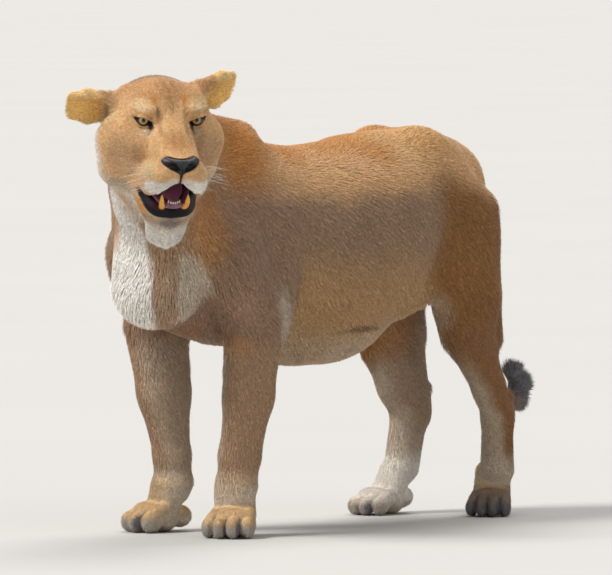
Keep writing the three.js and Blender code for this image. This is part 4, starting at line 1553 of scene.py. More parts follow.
    def of_bare_skin(self, p: Array, n: Array) -> Marks:
        """List the marks of mouth, lips and lids, and the painted shade in the nostrils.

        Args:
            p: points.
            n: normals.

        Returns:
            The marks in the order of painting.
        """
        q, m, j = self.frames(p)
        out = []
        for side in (1, -1):
            away = Lids(side).frame(q)
            near = step(42, 36, lengths(away))
            out.append((DARK * 0.5, near * step(5.4, 3.4, Lids.gap(away))))
            corner = np.abs(away[:, 2] - 0.12 * (away[:, 0] - 20)) + 0.28 * np.maximum(away[:, 0] - 18, 0)
            out.append((DARK * 0.6, near * step(3.0, 1.6, corner) * step(14, 17, away[:, 0])))
            drop = np.hypot(away[:, 0] + 24 + 0.3 * (away[:, 2] + 8), 0.35 * (away[:, 2] + 14))
            out.append((BROWN * 0.5, 0.55 * step(52, 44, lengths(away)) * step(5.5, 2.5, drop)))
        inside, mouth = self.anatomy.opening(p)
        floor = floor_of_mouth(q, j, mouth)
        return out + [
            (LIP, np.clip(step(5, 2, mouth) * step(3, 6, inside) + lower_lip(j) + floor, 0, 1)),
            (LINING, 0.8 * step(10, 20, inside) * step(6, 3, mouth)),
            (LINING * 0.35, floor * step(-60, -90, j[:, 1])),
            (LIP, step(2.5, 1.5, np.abs(q[:, 0])) * step(-90, -100, q[:, 1]) * step(-78, -84, q[:, 2])),
            # painted shade: the skin under the nose leather is dark so that the nostrils look deep
            (DARK * 0.2, step(2, 0, nose_mask(q))),
        ]


# ---- materials


class Tree:
    """Lays out the nodes of a material or a node group."""

    def __init__(self, tree: bpy.types.NodeTree) -> None:
        """Keep the tree."""
        self.tree = tree

    def node(self, kind: str, inputs: dict | None = None, **settings: object) -> bpy.types.Node:
        """Add a node.

        Args:
            kind: its type, without the usual first letters.
            inputs: sockets or values by input name.
            settings: properties of the node.

        Returns:
            The node.
        """
        made = self.tree.nodes.new("ShaderNode" + kind)
        for key, value in settings.items():
            setattr(made, key, value)
        for key, value in (inputs or {}).items():
            if isinstance(value, bpy.types.NodeSocket):
                self.tree.links.new(value, made.inputs[key])
            else:
                made.inputs[key].default_value = value
        return made

    def math(self, operation: str, *values: object) -> bpy.types.NodeSocket:
        """Add a math node."""
        return self.node("Math", dict(enumerate(values)), operation=operation).outputs[0]

    def scaled(self, colour: bpy.types.NodeSocket, factor: object) -> bpy.types.NodeSocket:
        """Multiply a colour by a value."""
        return self.node("VectorMath", {0: colour, "Scale": factor}, operation="SCALE").outputs[0]

    def attribute(self, name: str) -> bpy.types.Node:
        """Read an attribute of the mesh."""
        return self.node("Attribute", attribute_name=name)

    def places(self) -> bpy.types.NodeSocket:
        """Give the place on the object, in metres."""
        return self.node("TexCoord").outputs["Object"]


@dataclass(frozen=True)
class Effect:
    """A shader node group that several materials share."""

    name: str  # name of the group
    inputs: dict[str, object]  # names and values of its inputs; a triple is a colour
    outputs: dict[str, bool]  # names of its outputs and whether each is a colour
    lay: Callable  # lays out its nodes and gives its outputs

    def tree(self) -> bpy.types.NodeTree:
        """Build the group once.

        Returns:
            The group.
        """
        if self.name in bpy.data.node_groups:
            return bpy.data.node_groups[self.name]
        group = bpy.data.node_groups.new(self.name, "ShaderNodeTree")
        for name, value in self.inputs.items():
            kind = "NodeSocketFloat" if isinstance(value, float) else "NodeSocketColor"
            made = group.interface.new_socket(name, in_out="INPUT", socket_type=kind)
            made.default_value = value if isinstance(value, float) else (*value, 1)
        for name, is_colour in self.outputs.items():
            kind = "NodeSocketColor" if is_colour else "NodeSocketFloat"
            group.interface.new_socket(name, in_out="OUTPUT", socket_type=kind)
        ends = group.nodes.new("NodeGroupInput"), group.nodes.new("NodeGroupOutput")
        for name, socket in self.lay(Tree(group), ends[0].outputs).items():
            group.links.new(socket, ends[1].inputs[name])
        return group

    def within(self, tree: Tree, inputs: dict) -> bpy.types.bpy_prop_collection:
        """Place the group in a material and give its outputs."""
        return tree.node("Group", inputs, node_tree=self.tree()).outputs


def lay_mottle(tree: Tree, given: bpy.types.bpy_prop_collection) -> dict:
    """Vary a colour in soft patches of two sizes.

    Args:
        tree: nodes of the group.
        given: the group's inputs.

    Returns:
        Its outputs.
    """
    broad = tree.node("TexNoise", {"Vector": tree.places(), "Scale": given["Scale"], "Detail": 3.0})
    swing = tree.math("MULTIPLY", tree.math("SUBTRACT", broad.outputs[0], 0.5), given["Amount"])
    return {"Color": tree.scaled(given["Color"], tree.math("ADD", 1.0, swing))}


def lay_strands(tree: Tree, given: bpy.types.bpy_prop_collection) -> dict:
    """Darken a tuft towards its root as painted shade under the other tufts, and tone each tuft a little
    differently.

    Args:
        tree: nodes of the group.
        given: the group's inputs.

    Returns:
        Its outputs.
    """
    own = tree.math("MULTIPLY", tree.math("SUBTRACT", given["Tone"], 0.5), given["Spread"])
    root = tree.math("SUBTRACT", 1.0, tree.math("MULTIPLY", given["Shade"], given["Root"]))
    shade = tree.math("MULTIPLY", tree.math("ADD", 1.0, own), root)
    return {"Color": tree.scaled(given["Color"], shade)}


def lay_pebbles(tree: Tree, given: bpy.types.bpy_prop_collection) -> dict:
    """Raise small rounded cells with creases between them.

    Args:
        tree: nodes of the group.
        given: the group's inputs.

    Returns:
        Its outputs.
    """
    cells = tree.node(
        "TexVoronoi", {"Vector": tree.places(), "Scale": given["Scale"]}, feature="DISTANCE_TO_EDGE"
    )
    raised = tree.node("MapRange", {"Value": cells.outputs["Distance"], "From Max": 0.18})
    grain = tree.node("TexNoise", {"Vector": tree.places(), "Scale": 900.0, "Detail": 4.0})
    return {
        "Height": tree.math("MULTIPLY_ADD", grain.outputs[0], 0.3, raised.outputs[0]),
        "Mask": raised.outputs[0],
    }


def lay_nap(tree: Tree, given: bpy.types.bpy_prop_collection) -> dict:
    """Give the fine broken surface of short fur."""
    fine = tree.node("TexNoise", {"Vector": tree.places(), "Scale": given["Scale"], "Detail": 5.0,
                                  "Roughness": 0.7})
    return {"Height": fine.outputs[0]}


MOTTLE = Effect("mottle", {"Color": (1, 1, 1), "Scale": 9.0, "Amount": 0.3}, {"Color": True}, lay_mottle)
# Shade darkens the tufts towards their roots: painted shade near the skin.
STRANDS = Effect(
    "strands",
    {"Color": (1, 1, 1), "Tone": 0.5, "Root": 0.0, "Spread": 0.5, "Shade": 0.4},
    {"Color": True},
    lay_strands,
)
PEBBLES = Effect("pebbles", {"Scale": 300.0}, {"Height": False, "Mask": False}, lay_pebbles)
NAP = Effect("nap", {"Scale": 400.0}, {"Height": False}, lay_nap)


@dataclass(frozen=True)
class Finish:
    """What all finishes share."""

    name: str  # name of the material
    roughness: float = 0.6  # roughness where nothing varies it

    def material(self) -> bpy.types.Material:
        """Build the material once.

        Returns:
            The material.
        """
        if self.name in bpy.data.materials:
            return bpy.data.materials[self.name]
        made = bpy.data.materials.new(self.name)
        made.use_nodes = True
        made.node_tree.nodes.clear()
        tree = Tree(made.node_tree)
        shader = tree.node("BsdfPrincipled", {"Roughness": self.roughness, **self.inputs(tree)})
        tree.node("OutputMaterial", {"Surface": shader.outputs[0]})
        return made

    def inputs(self, tree: Tree) -> dict:
        """Give what goes into the shader."""
        raise NotImplementedError

    def bump(self, tree: Tree, height: bpy.types.NodeSocket, depth: float) -> bpy.types.NodeSocket:
        """Turn a height into a normal."""
        return tree.node("Bump", {"Height": height, "Distance": depth, "Strength": 1.0}).outputs[0]


@dataclass(frozen=True)
class Hide(Finish):
    """Skin under the coat: marked, napped, and wet on lips and lids."""

    def inputs(self, tree: Tree) -> dict:
        """Give what goes into the shader.

        Args:
            tree: nodes of the material.

        Returns:
            Sockets or values by input name.
        """
        marked = MOTTLE.within(tree, {"Color": tree.attribute("marking").outputs["Color"], "Scale": 30.0,
                                      "Amount": 0.5})
        wet = tree.attribute("wet").outputs["Fac"]
        rough = tree.node("MapRange", {"Value": wet, "To Min": 0.8, "To Max": 0.3})
        height = NAP.within(tree, {"Scale": 420.0})["Height"]
        return {
            "Base Color": marked["Color"],
            "Roughness": rough.outputs[0],
            "Specular IOR Level": 0.2,
            "Normal": self.bump(tree, height, 0.0016),
        }


@dataclass(frozen=True)
class Fur(Finish):
    """A coat of closed tufts, lighter at the tips, with painted shade darkening them towards the root."""

    spread: float = 0.7  # how much the tufts differ
    shade: float = 0.45  # how much darker they are at the root: painted shade near the skin
    fleck: float = 1.3  # how much small flecks differ

    def inputs(self, tree: Tree) -> dict:
        """Give what goes into the shader.

        Args:
            tree: nodes of the material.

        Returns:
            Sockets or values by input name.
        """
        strand = tree.attribute("strand").outputs["Vector"]
        parts = tree.node("SeparateXYZ", {0: strand})
        base = MOTTLE.within(tree, {"Color": tree.attribute("marking").outputs["Color"], "Scale": 7.0,
                                    "Amount": 0.25})
        fleck = MOTTLE.within(tree, {"Color": base["Color"], "Scale": 170.0, "Amount": self.fleck})
        toned = STRANDS.within(tree, {
            "Color": fleck["Color"], "Tone": parts.outputs[0], "Root": parts.outputs[1],
            "Spread": self.spread, "Shade": self.shade,
        })
        return {
            "Base Color": toned["Color"],
            "Specular IOR Level": 0.25,
            "Sheen Weight": 0.15,
            "Sheen Roughness": 0.4,
        }


@dataclass(frozen=True)
class Leather(Finish):
    """Bare pebbled skin of the nose, or the ridged skin of the tongue."""

    colour: tuple[float, float, float] = (0.02, 0.017, 0.018)  # colour of the raised cells
    crease: tuple[float, float, float] = (0.008, 0.007, 0.008)  # colour between them
    scale: float = 420.0  # cells to a metre
    depth: float = 0.0006  # height of the cells in metres
    wet: float = 0.3  # strength of the wet film

    def inputs(self, tree: Tree) -> dict:
        """Give what goes into the shader.

        Args:
            tree: nodes of the material.

        Returns:
            Sockets or values by input name.
        """
        cells = PEBBLES.within(tree, {"Scale": self.scale})
        mixed = tree.node(
            "Mix",
            {"Factor": cells["Mask"], "A": (*self.crease, 1), "B": (*self.colour, 1)},
            data_type="RGBA",
        )
        soft = MOTTLE.within(tree, {"Color": mixed.outputs["Result"], "Scale": 60.0, "Amount": 0.7})
        return {
            "Base Color": soft["Color"],
            "Normal": self.bump(tree, cells["Height"], self.depth),
            "Coat Weight": self.wet,
            "Coat Roughness": 0.25,
        }


@dataclass(frozen=True)
class Enamel(Finish):
    """Teeth, stained towards the root."""

    tip: tuple[float, float, float] = (0.86, 0.46, 0.05)
    root: tuple[float, float, float] = (0.62, 0.22, 0.008)

    def inputs(self, tree: Tree) -> dict:
        """Give what goes into the shader.

        Args:
            tree: nodes of the material.

        Returns:
            Sockets or values by input name.
        """
        along = tree.attribute("along").outputs["Fac"]
        mixed = tree.node(
            "Mix", {"Factor": along, "A": (*self.root, 1), "B": (*self.tip, 1)}, data_type="RGBA"
        )
        soft = MOTTLE.within(tree, {"Color": mixed.outputs["Result"], "Scale": 160.0, "Amount": 0.5})
        height = NAP.within(tree, {"Scale": 700.0})["Height"]
        return {
            "Base Color": soft["Color"],
            "Normal": self.bump(tree, height, 0.0003),
            "Coat Weight": 0.5,
            "Coat Roughness": 0.15,
        }


@dataclass(frozen=True)
class Eyeball(Finish):
    """The eye: round pupil, streaked amber iris, dark rim and white behind, under a wet film."""

    def inputs(self, tree: Tree) -> dict:
        """Give what goes into the shader.

        Args:
            tree: nodes of the material.

        Returns:
            Sockets or values by input name.
        """
        out = tree.attribute("out").outputs["Fac"]
        streaks = tree.node("TexNoise", {"Vector": tree.attribute("spokes").outputs["Vector"],
                                         "Scale": 5.0, "Detail": 4.0})
        ramp = tree.node("ValToRGB", {"Fac": out})
        stops = (
            (0.0, (0.003, 0.003, 0.003)), (0.11, (0.003, 0.003, 0.003)), (0.13, (0.20, 0.13, 0.05)),
            (0.20, (0.38, 0.27, 0.11)), (0.30, (0.28, 0.185, 0.06)), (0.365, (0.08, 0.045, 0.015)),
            (0.40, (0.006, 0.005, 0.005)), (0.7, (0.01, 0.007, 0.006)), (1.0, (0.10, 0.06, 0.05)),
        )
        for place, _ in stops[1:-1]:
            ramp.color_ramp.elements.new(place)
        for element, (_, colour) in zip(ramp.color_ramp.elements, stops):
            element.color = (*colour, 1)
        shade = tree.node("MapRange", {"Value": streaks.outputs[0], "From Min": 0.3, "From Max": 0.7,
                                       "To Min": 0.7, "To Max": 1.3})
        return {
            "Base Color": tree.scaled(ramp.outputs[0], shade.outputs[0]),
            "Coat Weight": 0.6,
            "Coat Roughness": 0.02,
            "Specular IOR Level": 0.1,
        }


@dataclass(frozen=True)
class Plaster(Finish):
    """The pale floor."""

    colour: tuple[float, float, float] = (0.56, 0.54, 0.51)  # colour of the floor

    def inputs(self, tree: Tree) -> dict:
        """Give what goes into the shader.

        Args:
            tree: nodes of the material.

        Returns:
            Sockets or values by input name.
        """
        plain = tree.node("RGB")
        plain.outputs[0].default_value = (*self.colour, 1)
        soft = MOTTLE.within(tree, {"Color": plain.outputs[0], "Scale": 0.7, "Amount": 0.06})
        return {"Base Color": soft["Color"]}


SKIN = Hide("bare hide")
# the last number is the painted shade at the tufts' roots
COAT = Fur("tufted coat", 0.85, 0.42, 0.28)
NOSE = Leather("nose leather", 0.5, (0.006, 0.004, 0.006), (0.003, 0.002, 0.003), 900.0, 0.0003, 0.15)
TONGUE = Leather("tongue skin", 0.4, (0.42, 0.11, 0.20), (0.28, 0.07, 0.13), 900.0, 0.0004, 0.5)
GUMS = Leather("gum skin", 0.35, (0.24, 0.07, 0.12), (0.14, 0.04, 0.07), 160.0, 0.0003, 0.6)
TEETH = Enamel("stained teeth", 0.3)
INCISORS = Enamel("pale teeth", 0.3, (0.72, 0.64, 0.5), (0.5, 0.38, 0.2))
EYES = Eyeball("amber eye", 0.15)
BRISTLE = Enamel("white bristle", 0.4, (0.8, 0.78, 0.74), (0.45, 0.40, 0.34))
FLOOR = Plaster("pale floor", 0.85)


# ---- pieces


class Bench:
    """Turns shapes in the body's millimetres into objects in the row's metres."""

    def __init__(self) -> None:
        """Find how far the row's frame is from the body's."""
        shift_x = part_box("thigh_left")[0][0] / MM - THIGH_LOW_X
        shift_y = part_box("barrel")[0][1] / MM - BARREL_LOW_Y
        self.shift = np.array([shift_x, shift_y, 0])

    def place(self, points: Array) -> Array:
        """Change body millimetres to row metres."""
        return (np.asarray(points) + self.shift) * MM

    def piece(
        self,
        name: str,
        surface: Surface,
        finish: Finish,
        slot: str,
        replaced: Sequence[str] = (),
        attributes: dict[str, Array] | None = None,
        uv: Array | None = None,
        facing: Array | None = None,
    ) -> bpy.types.Object:
        """Make one piece of the lioness.

        Args:
            name: name of the piece.
            surface: its triangles.
            finish: its finish.
            slot: not used.
            replaced: CAD nodes that it stands for.
            attributes: values at the points, by name; three columns are a colour or a vector.
            uv: places on the baking map, one to each corner of each face.
            facing: normals at the points, where they aren't the surface's own.

        Returns:
            The piece.
        """
        mesh = bpy.data.meshes.new(name)
        count = len(surface.faces)
        mesh.vertices.add(len(surface.points))
        mesh.vertices.foreach_set("co", self.place(surface.points).astype(np.float32).ravel())
        mesh.loops.add(count * 3)
        mesh.loops.foreach_set("vertex_index", surface.faces.astype(np.int32).ravel())
        mesh.polygons.add(count)
        mesh.polygons.foreach_set("loop_start", np.arange(0, count * 3, 3, dtype=np.int32))
        mesh.polygons.foreach_set("use_smooth", np.ones(count, bool))
        for key, values in (attributes or {}).items():
            if values.ndim == 1:
                made = mesh.attributes.new(key, "FLOAT", "POINT")
                made.data.foreach_set("value", values.astype(np.float32))
            else:
                made = mesh.attributes.new(key, "FLOAT_COLOR", "POINT")
                four = np.concatenate([values, np.ones((len(values), 1))], 1)
                made.data.foreach_set("color", four.astype(np.float32).ravel())
        if uv is not None:
            layer = mesh.uv_layers.new(name="OFBake")
            layer.data.foreach_set("uv", uv.astype(np.float32).ravel())
        mesh.update(calc_edges=True)
        mesh.validate()
        if facing is not None:
            mesh.normals_split_custom_set_from_vertices(facing)
        mesh.materials.append(finish.material())
        made = bpy.data.objects.new(name, mesh)
        bpy.context.scene.collection.objects.link(made)
        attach(made, "root")
        if replaced:
            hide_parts(*replaced)
        return made


def loft(rings: Array) -> Surface:
    """Join rings of points into a closed surface with its ends filled.

    Args:
        rings: rings, points and coordinates; each ring goes right-handed about the way onwards.

    Returns:
        The surface; its last two points are the middles of the ends.
    """
    count, sides = rings.shape[:2]
    points = np.concatenate([rings.reshape(-1, 3), [rings[0].mean(0), rings[-1].mean(0)]])
    here = np.arange(sides)
    there = (here + 1) % sides
    faces = []
    for i in range(count - 1):
        a, b = i * sides + here, i * sides + there
        c, d = a + sides, b + sides
        faces += [np.stack([a, b, d], 1), np.stack([a, d, c], 1)]
    last = (count - 1) * sides
    faces.append(np.stack([there, here, np.full(sides, count * sides)], 1))
    faces.append(np.stack([last + here, last + there, np.full(sides, count * sides + 1)], 1))
    return Surface(points, np.concatenate(faces))


def joined(surfaces: Sequence[Surface]) -> Surface:
    """Put several surfaces into one.

    Args:
        surfaces: the surfaces.

    Returns:
        One surface holding them all.
    """
    starts = np.cumsum([0, *[len(s.points) for s in surfaces]])
    return Surface(
        np.concatenate([s.points for s in surfaces]),
        np.concatenate([s.faces + start for s, start in zip(surfaces, starts)]),
    )


def strand(line: Array, radii: Array, sides: int, flat: float = 1.0) -> Surface:
    """Sweep a round or flattened section along a line.

    Args:
        line: the middle line.
        radii: radius at each of its points.
        sides: corners of the section.
        flat: height of the section as a share of its width.

    Returns:
        The closed surface.
    """
    ahead = normalized(np.gradient(line, axis=0))
    side = normalized(np.cross(ahead, np.array([0.05, 0.1, 1.0])))
    up = np.cross(side, ahead)
    angle = 2 * np.pi * np.arange(sides) / sides
    cosine, sine = np.cos(angle)[None, :, None], np.sin(angle)[None, :, None]
    across = cosine * side[:, None] - flat * sine * up[:, None]
    return loft(line[:, None] + across * np.asarray(radii)[:, None, None])


# ---- coat


class Chart(Enum):
    """How a region's skin is opened out flat."""

    ROUND = "round"
    TUBE = "tube"


@dataclass(frozen=True)
class Unwrap:
    """Opens a region's own skin out flat."""

    chart: Chart  # the kind of chart
    centre: Array  # middle of the region
    axes: Array  # the region's axes as columns; the last is the chart's pole or axis

    def places(self, points: Array) -> Array:
        """Give places on the chart.

        Args:
            points: points of the skin.

        Returns:
            Two numbers from 0 to 1 to a point.
        """
        q = (points - self.centre) @ self.axes
        angle = np.arctan2(q[:, 1], q[:, 0])
        if self.chart is Chart.TUBE:
            v = (q[:, 2] - q[:, 2].min()) / max(np.ptp(q[:, 2]), 1)
            return np.stack([0.01 + 0.98 * (angle / (2 * np.pi) + 0.5), 0.01 + 0.98 * v], 1)
        polar = np.arccos(np.clip(q[:, 2] / np.maximum(lengths(q), 1e-6), -1, 1)) / np.pi
        return 0.5 + 0.49 * polar[:, None] * np.stack([np.cos(angle), np.sin(angle)], 1)


class Coat:
    """Closed tufts that start on the skin and lie along it, out to the coat's outline."""

    PIECE = 31000  # tufts in one piece
    PATCH = 0.003  # width of a tuft's place on the baking map
    MID = 0.42  # where a tuft is widest
    ROUND = 0.4  # how much the tufts' own roundness shows
    FACES = np.array([[0, 2, 1], [0, 1, 3], [0, 3, 2], [4, 1, 2], [4, 3, 1], [4, 2, 3]])
    SPREAD = np.array([[-0.5, 0], [0, 0.5], [0, -0.5], [0.1, 0], [0.5, 0]])

    def __init__(self, anatomy: Anatomy, skin: Skin, markings: Markings, count: int) -> None:
        """Keep what the tufts are made from."""
        self.anatomy, self.skin, self.markings, self.count = anatomy, skin, markings, count
        self.random = np.random.default_rng(SEED)

    def measures(self, p: Array) -> dict[str, Array]:
        """Give the length and width of the tufts and how closely they stand.

        Args:
            p: points of the skin.

        Returns:
            Length, width, crowding and lift at each point.
        """
        q, j = self.anatomy.head.local(p), self.anatomy.jaw.local(p)
        m = folded(q)
        near_head = step(270, 220, lengths(q - np.array([0, 50, -70])))
        length = np.full(len(p), 27.0)
        width = np.full(len(p), 1.8)
        crowd = np.full(len(p), 1.0)
        lift = np.full(len(p), 1.0)

        def blend(mask: Array, values: tuple[float, float, float, float]) -> None:
            """Change the measures where a mask is set."""
            for array, value in zip((length, width, crowd, lift), values):
                array += (value - array) * mask

        blend(step(520, 380, p[:, 2]), (18.0, 1.6, 1.3, 0.9))
        blend(step(130, 90, p[:, 2]), (11.0, 1.15, 2.4, 0.8))
        belly = step(500, 440, p[:, 2]) * step(160, 120, np.abs(p[:, 0])) * step(360, 420, p[:, 2])
        blend(belly, (32.0, 2.0, 1.2, 1.2))
        chest = step(-430, -500, p[:, 1]) * step(760, 700, p[:, 2]) * step(440, 500, p[:, 2])
        blend(chest, (31.0, 1.9, 1.3, 1.2))
        blend(near_head, (20.0, 1.4, 2.0, 0.9))
        blend(near_head * step(120, 40, q[:, 1]), (12.5, 0.9, 3.6, 0.8))
        blend(near_head * step(0, -60, q[:, 1]), (8.5, 0.75, 5.0, 0.8))
        blend(spot(m, (112, 120, -120), (60, 70, 90)), (32.0, 1.5, 2.6, 1.25))
        blend(spot(j, (0, -80, -200), (66, 60, 56)), (32.0, 1.2, 4.0, 1.3))
        blend(spot(m, (60, 18, 0), (44, 40, 34)), (5.4, 0.7, 6.5, 0.7))
        for ear in self.anatomy.ears:
            e = ear.local(p)
            on = step(12, 2, ear.distance(p)) * step(6, 24, e[:, 2])
            blend(on, (14.0, 1.1, 3.4, 1.0))
        tail = (self.anatomy.tail.distance(p) < 10) & (p[:, 1] > 600)
        along = p[:, 1] + 0.25 * (330 - p[:, 2])
        blend(tail * 1.0, (11.0, 2.0, 1.8, 1.0))
        blend(tail * step(700, 720, along), (34.0, 1.9, 6.0, 0.9))
        return {"length": length, "width": width, "crowd": crowd, "lift": lift}

    def scattered(self) -> tuple[Array, ...]:
        """Choose where the tufts start.

        Returns:
            Their roots, the skin's normals there, and which way the hair lies.
        """
        s = self.skin.surface
        a, b, c = s.corners()
        middle = (a + b + c) / 3
        area = lengths(np.cross(b - a, c - a)) / 2
        weight = area * self.measures(middle)["crowd"] * (1 - self.skin.wet[s.faces].mean(1)) ** 2
        share = np.cumsum(weight) / weight.sum()
        picks = (np.arange(self.count) + self.random.random(self.count)) / self.count
        chosen = np.searchsorted(share, picks)
        u, v = self.random.random(self.count), self.random.random(self.count)
        flip = u + v > 1
        u, v = np.where(flip, 1 - u, u), np.where(flip, 1 - v, v)
        mix = np.stack([1 - u - v, u, v], 1)[:, :, None]
        corners = s.faces[chosen]
        kept = (s.points, self.skin.normals, self.skin.lie)
        return tuple((values[corners] * mix).sum(1) for values in kept)

    def pieces(self) -> list[tuple]:
        """Make the coat's pieces.

        Returns:
            Name, surface, attributes, baking map and normals of each.
        """
        roots, normals, lie = self.scattered()
        normals = normalized(normals)
        region = self.anatomy.region(roots.astype(np.float32))
        colours = self.markings.colour(roots, normals)
        shape = self.tufts(roots, normals, lie)
        tone = self.random.random(len(roots))
        out = []
        for value in Region:
            index = np.where(region == value.value)[0]
            if not len(index):
                continue
            chart = self.unwrap(value).places(roots[index])
            parts = math.ceil(len(index) / self.PIECE)
            order = np.argsort(chart[:, 1], kind="stable")
            for part, rows in enumerate(np.array_split(order, parts)):
                name = "coat_" + value.name.lower() + (f"_{part + 1}" if parts > 1 else "")
                own = index[rows]
                parts_of = self.mesh(shape[own], colours[own], tone[own], chart[rows])
                out.append((name, *parts_of, self.facing(shape[own], normals[own])))
        return out

    def tufts(self, roots: Array, normals: Array, lie: Array) -> Array:
        """Shape the tufts.

        Args:
            roots: where they start.
            normals: the skin's normals.
            lie: which way they lie.

        Returns:
            Five points to a tuft.
        """
        size = self.measures(roots)
        count = len(roots)
        flat = normalized(lie - (lie * normals).sum(1)[:, None] * normals)
        side = np.cross(normals, flat)
        stray = self.random.normal(0, 0.11, count)[:, None]
        flat = normalized(flat + stray * side)
        side = np.cross(normals, flat)
        length = (size["length"] * self.random.uniform(0.75, 1.2, count))[:, None]
        width = (size["width"] * self.random.uniform(0.75, 1.25, count))[:, None]
        if self.count < 100000:
            width = width * math.sqrt(100000 / self.count)
        depth = self.anatomy.depth(roots.astype(np.float32))[:, None]
        rise = depth * (size["lift"] * self.random.uniform(0.7, 1.05, count))[:, None]
        middle = roots + flat * length * self.MID + normals * rise * 0.62
        sway = self.random.normal(0, 0.05, (count, 1))
        tip = roots + flat * length + normals * rise * 0.9 + side * length * sway
        thick = width * 0.16
        shape = np.stack([
            roots - normals * 0.5,
            middle - side * width / 2,
            middle + side * width / 2,
            middle + normals * thick,
            tip,
        ], 1)
        shape[:, :, 2] -= np.minimum(shape[:, :, 2].min(1) - SOLE, 0)[:, None]
        return shape

    def mesh(
        self, shape: Array, colours: Array, tone: Array, chart: Array
    ) -> tuple[Surface, dict[str, Array], Array]:
        """Turn tufts into a mesh.

        Args:
            shape: five points to a tuft.
            colours: one to a tuft.
            tone: a number of its own for each.
            chart: its root's place on the baking map.

        Returns:
            The surface, its attributes and its baking map.
        """
        count = len(shape)
        faces = (self.FACES[None] + 5 * np.arange(count)[:, None, None]).reshape(-1, 3)
        strand = np.zeros((count, 5, 3))
        strand[:, :, 0] = tone[:, None]
        # weight of the painted shade near the skin: full at the root, none at the tip
        strand[:, :, 1] = np.array([1.0, 0.35, 0.35, 0.25, 0.0])
        uv = (chart[:, None] + self.PATCH * self.SPREAD[None]).reshape(-1, 2)
        attributes = {"marking": np.repeat(colours, 5, axis=0), "strand": strand.reshape(-1, 3)}
        return Surface(shape.reshape(-1, 3), faces), attributes, uv[faces.ravel()]

    def facing(self, shape: Array, normals: Array) -> Array:
        """Give normals that follow the body under the tufts, turned a little by each tuft.

        Args:
            shape: five points to a tuft.
            normals: the skin's normals at the roots.

        Returns:
            One normal to a point.
        """
        across = normalized(shape[:, 2] - shape[:, 1])
        own = np.stack([0 * across, -across, across, 0 * across, 0 * across], 1)
        return normalized((normals[:, None] + self.ROUND * own).reshape(-1, 3))

    def unwrap(self, region: Region) -> Unwrap:
        """Choose the chart of a region.

        Args:
            region: the region.

        Returns:
            Its chart.
        """
        group = self.anatomy.groups[region.value][0]
        middle = group.world((group.lo + group.hi) / 2)
        along_y = np.array([[1, 0, 0], [0, 0, 1], [0, 1, 0]], float).T
        if region is Region.TRUNK:
            return Unwrap(Chart.TUBE, np.array([0, 0, 680.0]), along_y)
        if region in (Region.HEAD, Region.JAW, Region.EAR_LEFT, Region.EAR_RIGHT):
            return Unwrap(Chart.ROUND, middle, group.turned @ -along_y)
        if region.name.endswith(("PAW_LEFT", "PAW_RIGHT")):
            return Unwrap(Chart.ROUND, middle, group.turned)
        return Unwrap(Chart.TUBE, middle, np.eye(3))


# ---- eyes, nose, mouth and whiskers


@dataclass
class Fitting:
    """What is set into the skin."""

    bench: Bench  # makes the pieces
    anatomy: Anatomy  # the fields

    def build(self) -> list[bpy.types.Object]:
        """Make the pieces."""
        raise NotImplementedError


@dataclass
class Eyes(Fitting):
    """The two eyeballs, looking a little to her right and up from the line of the face."""

    aside: float = 10.0  # degrees that the gaze turns to her right
    upward: float = 12.0  # degrees that it rises
    pupil: float = 44.0  # half angle of the clear window in front, in degrees
    bulge: float = 1.6  # how far the window stands out
    rings: int = 44  # rings of faces from front to back
    sides: int = 48  # faces to a ring

    def build(self) -> list[bpy.types.Object]:
        """Make both eyes.

        Returns:
            The pieces.
        """
        made = []
        for side, name in ((1, "eye_left"), (-1, "eye_right")):
            gaze = turn("z", -self.aside) @ turn("x", -self.upward)
            surface, attributes = self.ball()
            centre = np.array(EYE_AT) * (side, 1, 1)
            surface.points = self.anatomy.head.world(surface.points @ gaze.T + centre)
            made.append(self.bench.piece("eyeball_" + name[4:], surface, EYES, "eye", (name,), attributes))
        return made

    def ball(self) -> tuple[Surface, dict[str, Array]]:
        """Make an eyeball that looks along -Y.

        Returns:
            The surface and its attributes.
        """
        polar = np.linspace(0.02, np.pi - 0.02, self.rings)
        angle = 2 * np.pi * np.arange(self.sides) / self.sides
        window = np.clip(np.degrees(polar) / self.pupil, 0, 1)
        radius = EYE_RADIUS + self.bulge * (1 - window**2) ** 1.5
        out = np.sin(polar) * radius
        ring = np.stack([
            out[:, None] * np.cos(angle),
            np.repeat((-np.cos(polar) * radius)[:, None], self.sides, 1),
            -out[:, None] * np.sin(angle),
        ], -1)
        surface = loft(ring)
        share = np.concatenate([np.repeat(polar / np.pi, self.sides), [0, 1]]) * 1.8
        turned = np.concatenate([np.tile(angle, self.rings), [0, 0]])
        spokes = np.stack([np.cos(turned) * 2, np.sin(turned) * 2, share * 0.6], 1)
        return surface, {"out": np.clip(share, 0, 1), "spokes": spokes}


